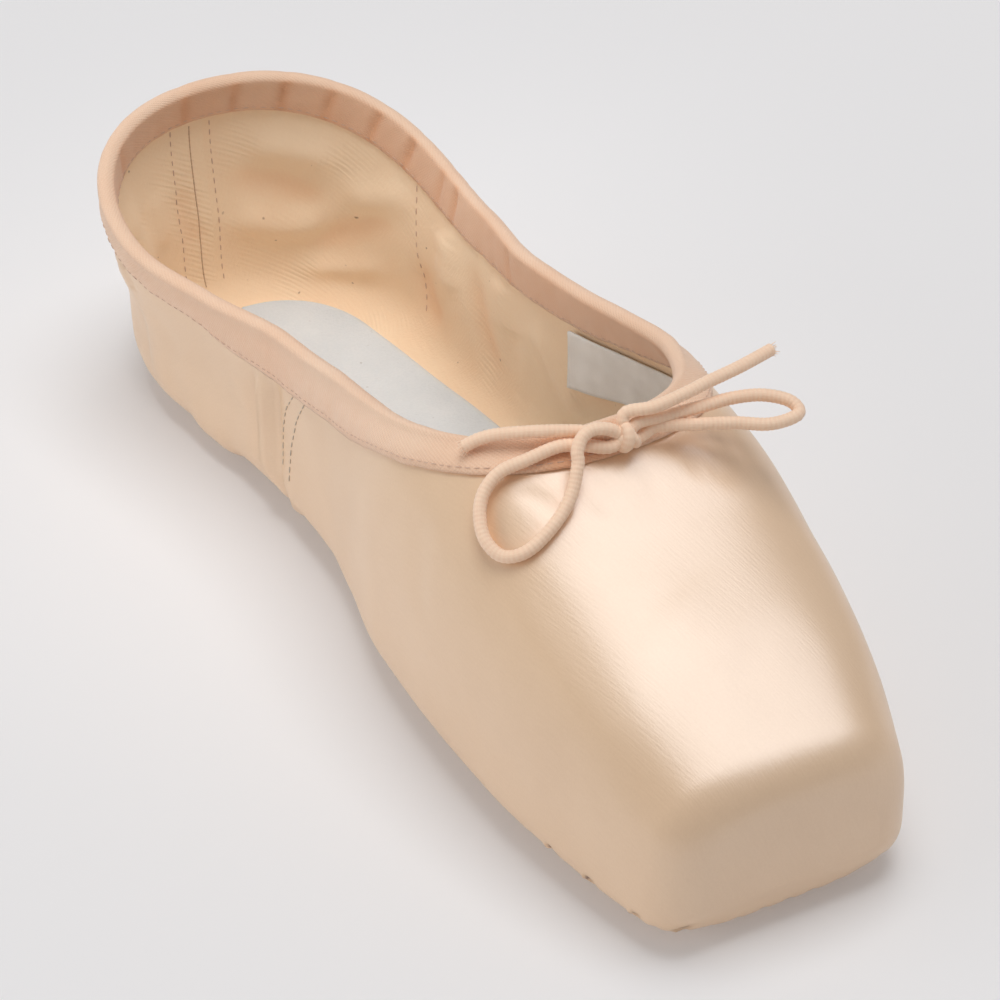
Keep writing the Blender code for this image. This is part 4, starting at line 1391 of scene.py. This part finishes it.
def makeLabel():
    columns, rows = 44, 18
    layers = []
    for depth in (0.0, label["thickness"]):
        for i in range(columns):
            share = i / (columns - 1)
            along = label["front"] + (label["back"] - label["front"]) * share
            down = np.linspace(0, 1, rows)
            top = edgeHeight(along) - binding["innerDepth"] - label["belowBinding"]
            height = top - label["drop"] * down * (0.92 + 0.12 * share)
            start = np.stack([np.full(rows, halfWidth(along)), np.full(rows, along), height], axis=1)
            points, outwards = ontoLast(start)
            lift = label["curl"] * share**3 * (0.4 + 0.6 * down) + 0.00025 * math.sin(share * 9) * down
            folded = 0.00025 * (math.exp(-((share / 0.05) ** 2)) + math.exp(-(((1 - share) / 0.05) ** 2)))
            inset = wallAt(along) + 0.0007 + np.maximum(0, lift) + depth * (1 + folded / label["thickness"])
            layers.append(points - outwards * inset[:, None])
    points = np.vstack(layers)

    def spot(i, k):
        return ((label["back"] - label["front"]) * i / (columns - 1), label["drop"] * k / (rows - 1))

    faces, uvs = slabFaces(columns, rows, spot, plain[::-1])
    obj = newPiece("label_blank", placed(points), faces, [labelWeave], uvs)
    outward(obj)
    dress(obj, "label")


makeLabel()
print("label made")

# stitches, set along a path by a node tree: spacing, length and thickness in each seam

stitch = {
    "side": (0.0023, 0.0017, 0.00030),
    "lining": (0.0024, 0.0015, 0.00030),
    "binding": (0.0020, 0.0014, 0.00024),
    "sole": (0.0030, 0.0024, 0.00034),
    "vary": (0.85, 1.12),
    "seed": 7,
}


def stitchTree(name, material, sizes):
    tree = bpy.data.node_groups.new(name, "GeometryNodeTree")
    face = tree.interface
    face.new_socket("Geometry", in_out="INPUT", socket_type="NodeSocketGeometry")
    for key, value in zip(("Spacing", "Length", "Thickness"), sizes):
        face.new_socket(key, in_out="INPUT", socket_type="NodeSocketFloat").default_value = value
    face.new_socket("Geometry", in_out="OUTPUT", socket_type="NodeSocketGeometry")

    def node(kind, links=(), values=(), settings=()):
        made = tree.nodes.new(kind)
        for key, value in dict(settings).items():
            setattr(made, key, value)
        for key, value in dict(values).items():
            made.inputs[key].default_value = value
        for key, source in dict(links).items():
            tree.links.new(source, made.inputs[key])
        return made.outputs

    start = node("NodeGroupInput")
    curve = node("GeometryNodeMeshToCurve", {"Mesh": start["Geometry"]})["Curve"]
    spread = node("GeometryNodeResampleCurve", {"Curve": curve, "Length": start["Spacing"]},
                  settings={"mode": "LENGTH"})
    tangent = node("GeometryNodeInputTangent")[0]
    align = node("FunctionNodeAlignRotationToVector", {"Vector": tangent}, settings={"axis": "Z"})
    thread = node("GeometryNodeMeshUVSphere", (), {"Segments": 6, "Rings": 4, "Radius": 0.5})
    size = node("ShaderNodeCombineXYZ", {0: start["Thickness"], 1: start["Thickness"], 2: start["Length"]})
    low, high = stitch["vary"]
    vary = node("FunctionNodeRandomValue", (), {2: low, 3: high, "Seed": stitch["seed"]}, {"data_type": "FLOAT"})
    grow = node("ShaderNodeVectorMath", {0: size[0], "Scale": vary[1]}, (), {"operation": "SCALE"})
    put = node("GeometryNodeInstanceOnPoints", {"Points": spread["Curve"], "Instance": thread["Mesh"],
                                                "Rotation": align["Rotation"], "Scale": grow[0]})
    real = node("GeometryNodeRealizeInstances", {"Geometry": put["Instances"]})
    paint = node("GeometryNodeSetMaterial", {"Geometry": real["Geometry"]}, {"Material": material})
    node("NodeGroupOutput", {0: paint["Geometry"]})
    return tree


def sewn(name, paths, material, sizes):
    source = bpy.data.meshes.new(name + "_path")
    vertices, edges = [], []
    for path in paths:
        start = len(vertices)
        vertices += [tuple(p) for p in path]
        edges += [(start + i, start + i + 1) for i in range(len(path) - 1)]
    source.from_pydata(vertices, edges, [])
    holder = bpy.data.objects.new(name + "_path", source)
    scene.collection.objects.link(holder)
    holder.modifiers.new("stitches", "NODES").node_group = stitchTree(name + "_tree", material, sizes)
    graph = bpy.context.evaluated_depsgraph_get()
    mesh = bpy.data.meshes.new_from_object(holder.evaluated_get(graph))
    mesh.name = name
    bpy.data.objects.remove(holder, do_unlink=True)
    mesh.polygons.foreach_set("use_smooth", np.ones(len(mesh.polygons), bool))
    obj = bpy.data.objects.new(name, mesh)
    scene.collection.objects.link(obj)
    dress(obj, None)


def laidOn(tree, points, proud):
    # each point moved to the cloth's face and a little off it
    run = []
    for p in placed(points):
        spot, outwards, _, _ = tree.find_nearest(Vector(p))
        run.append(spot + outwards * proud)
    return run


def onFace(start, inside):
    points, outwards = ontoLast(start)
    return points - outwards * wallAt(points[:, 1])[:, None] if inside else points


def sideRun(side, rows, inside):
    # from (along, height) pairs to points on the outside or the lining
    rows = resample(np.array(rows, float) / 1000, 40)
    return onFace(np.stack([side * halfWidth(rows[:, 0]), rows[:, 0], rows[:, 1]], axis=1), inside)


def heelRun(shift, high, low, inside):
    heights = np.linspace(high, low, 40) / 1000
    back = last["length"] - 0.0005 * (shift / 5) ** 2
    return onFace(np.stack([np.full(40, shift / 1000), np.full(40, back), heights], axis=1), inside)


seamRows = (((141.5, 40.5), (147.0, 32.0), (149.2, 24.0), (150.2, 17.0)),
            ((136.8, 41.5), (142.4, 32.0), (145.0, 24.0), (146.2, 15.5)))
liningRow = ((203.0, 38.0), (199.0, 22.0), (195.5, 9.0))
proud = 0.00006
seamRuns = [laidOn(outerTree, sideRun(side, rows, False), proud) for side in (-1, 1) for rows in seamRows]
sewn("side_seam_stitches", seamRuns, threadGrey, stitch["side"])
liningRuns = [laidOn(innerTree, heelRun(shift, 46.5, 8.0, True), proud) for shift in (-7.8, 1.6)]
liningRuns += [laidOn(innerTree, sideRun(side, liningRow, True), proud) for side in (-1, 1)]
sewn("lining_seam_stitches", liningRuns, threadPeach, stitch["lining"])


def threadLine(name, run, thickness, material):
    # a thin dark line of thread that lies in a seam
    run = np.array([tuple(p) for p in run])
    line = resample(run, len(run) * 3)
    tangent = np.gradient(line, axis=0)
    tangent /= np.linalg.norm(tangent, axis=1)[:, None]
    side = np.cross(tangent, (1.0, 0.2, 0.1))
    side /= np.linalg.norm(side, axis=1)[:, None]
    up = np.cross(tangent, side)
    around = 6
    points = []
    for i in range(len(line)):
        wobble = 1 + 0.25 * math.sin(i * 1.9) * math.sin(i * 0.7)
        for k in range(around):
            turn = 2 * math.pi * k / around
            out = side[i] * math.cos(turn) + up[i] * math.sin(turn)
            points.append(line[i] + out * thickness / 2 * wobble)
    obj = newPiece(name, points, tubeFaces(len(line), around)[0], [material])
    outward(obj)
    dress(obj, None)


insideRun = laidOn(innerTree, heelRun(-3.2, 47.0, 6.5, True), 0.0)
outsideRun = laidOn(outerTree, heelRun(0.0, 46.0, 3.0, False), -0.00010)
threadLine("heel_seam_inside", insideRun, 0.00030, threadDark)
threadLine("heel_seam_outside", outsideRun, 0.00040, threadPeach)


def tapeRow(reach, depthAt):
    onCloth, outwards = ontoLast(edge + edgeAway * reach[:, None])
    run = laidOn(bindingTree, onCloth + outwards * depthAt(onCloth[:, 1])[:, None], 0.00003)
    return run + run[:1]


# the row that holds the tape down, on the outside and on the lining
tapeRows = [
    tapeRow(edgeDeep * 0.86, lambda along: np.full(len(along), 0.0022)),
    tapeRow(np.full(len(edge), binding["innerDepth"] * 0.90), lambda along: -(wallAt(along) + 0.0024)),
]
sewn("binding_stitches", tapeRows, threadPeach, stitch["binding"])

# the sole's stitching in its channel
channelAt = 0.86
channelRows = np.linspace(sole["front"] + 0.004, sole["back"] - 0.004, 160)
channelHeights = soleLower(np.full(160, channelAt), channelRows)
channel = np.stack([outlineHalf(sole, channelRows) * channelAt, channelRows, channelHeights], axis=1)
channel = np.vstack([channel, channel[::-1] * np.array((-1, 1, 1))])
channelRun = [tuple(p) for p in placed(channel) + np.array((0, 0, 0.00012))]
sewn("sole_stitches", [channelRun + channelRun[:1]], threadPeach, stitch["sole"])
print("stitches made")

# floor, world and lights

studio = {
    "floor": (0.74, 0.732, 0.738),
    "floorGlow": 0.14,
    "world": 0.34,
    "key": {"place": (0.14, 0.02, 1.40), "size": (0.9, 0.9), "power": 10.0},
    "gloss": {"place": (0.38, -0.16, 1.30), "size": (1.10, 1.9), "power": 16.0},
    "fill": {"place": (-1.40, 0.30, 0.40), "size": (1.0, 0.7), "power": 5.5},
    "inside": {"place": (-0.16, -0.10, 0.80), "aim": (0.005, 0.066, 0.03), "cone": 0.26, "power": 5.0},
}

floorMesh = bpy.data.meshes.new("floor")
floorMesh.from_pydata([(-6, -6, 0), (6, -6, 0), (6, 6, 0), (-6, 6, 0)], [], [(0, 1, 2, 3)])
floor = bpy.data.objects.new("floor", floorMesh)
scene.collection.objects.link(floor)
floorShade = Shade("floor_paper", {
    "Base Color": (*studio["floor"], 1), "Roughness": 1.0, "Specular IOR Level": 0.0,
    "Emission Color": (1.0, 0.99, 0.995, 1), "Emission Strength": studio["floorGlow"]})
floorMesh.materials.append(floorShade.material)

world = bpy.data.worlds.new("studio")
world.use_nodes = True
world.node_tree.nodes["Background"].inputs[0].default_value = (1.0, 0.995, 1.0, 1)
world.node_tree.nodes["Background"].inputs[1].default_value = studio["world"]
scene.world = world


def addLight(name, kind, place, power, aim=(0, 0, 0), size=None, cone=None):
    data = bpy.data.lights.new(name, kind)
    data.energy = power
    if kind == "AREA":
        data.shape = "RECTANGLE"
        data.size, data.size_y = size
    else:
        data.spot_size = cone
        data.spot_blend = 0.8
        data.shadow_soft_size = 0.08
    light = bpy.data.objects.new(name, data)
    light.location = place
    light.rotation_euler = (Vector(aim) - Vector(place)).to_track_quat("-Z", "Y").to_euler()
    scene.collection.objects.link(light)
    return light


addLight("key", "AREA", **studio["key"]).visible_glossy = False
addLight("fill", "AREA", **studio["fill"]).visible_glossy = False
gloss = addLight("gloss", "AREA", **studio["gloss"])
gloss.visible_diffuse = False
gloss.data.color = (0.80, 0.88, 1.0)
# a narrow lamp into the collar, so that the lining is seen
addLight("inside", "SPOT", **studio["inside"]).visible_glossy = False
print("studio made")

bpy.context.view_layer.update()
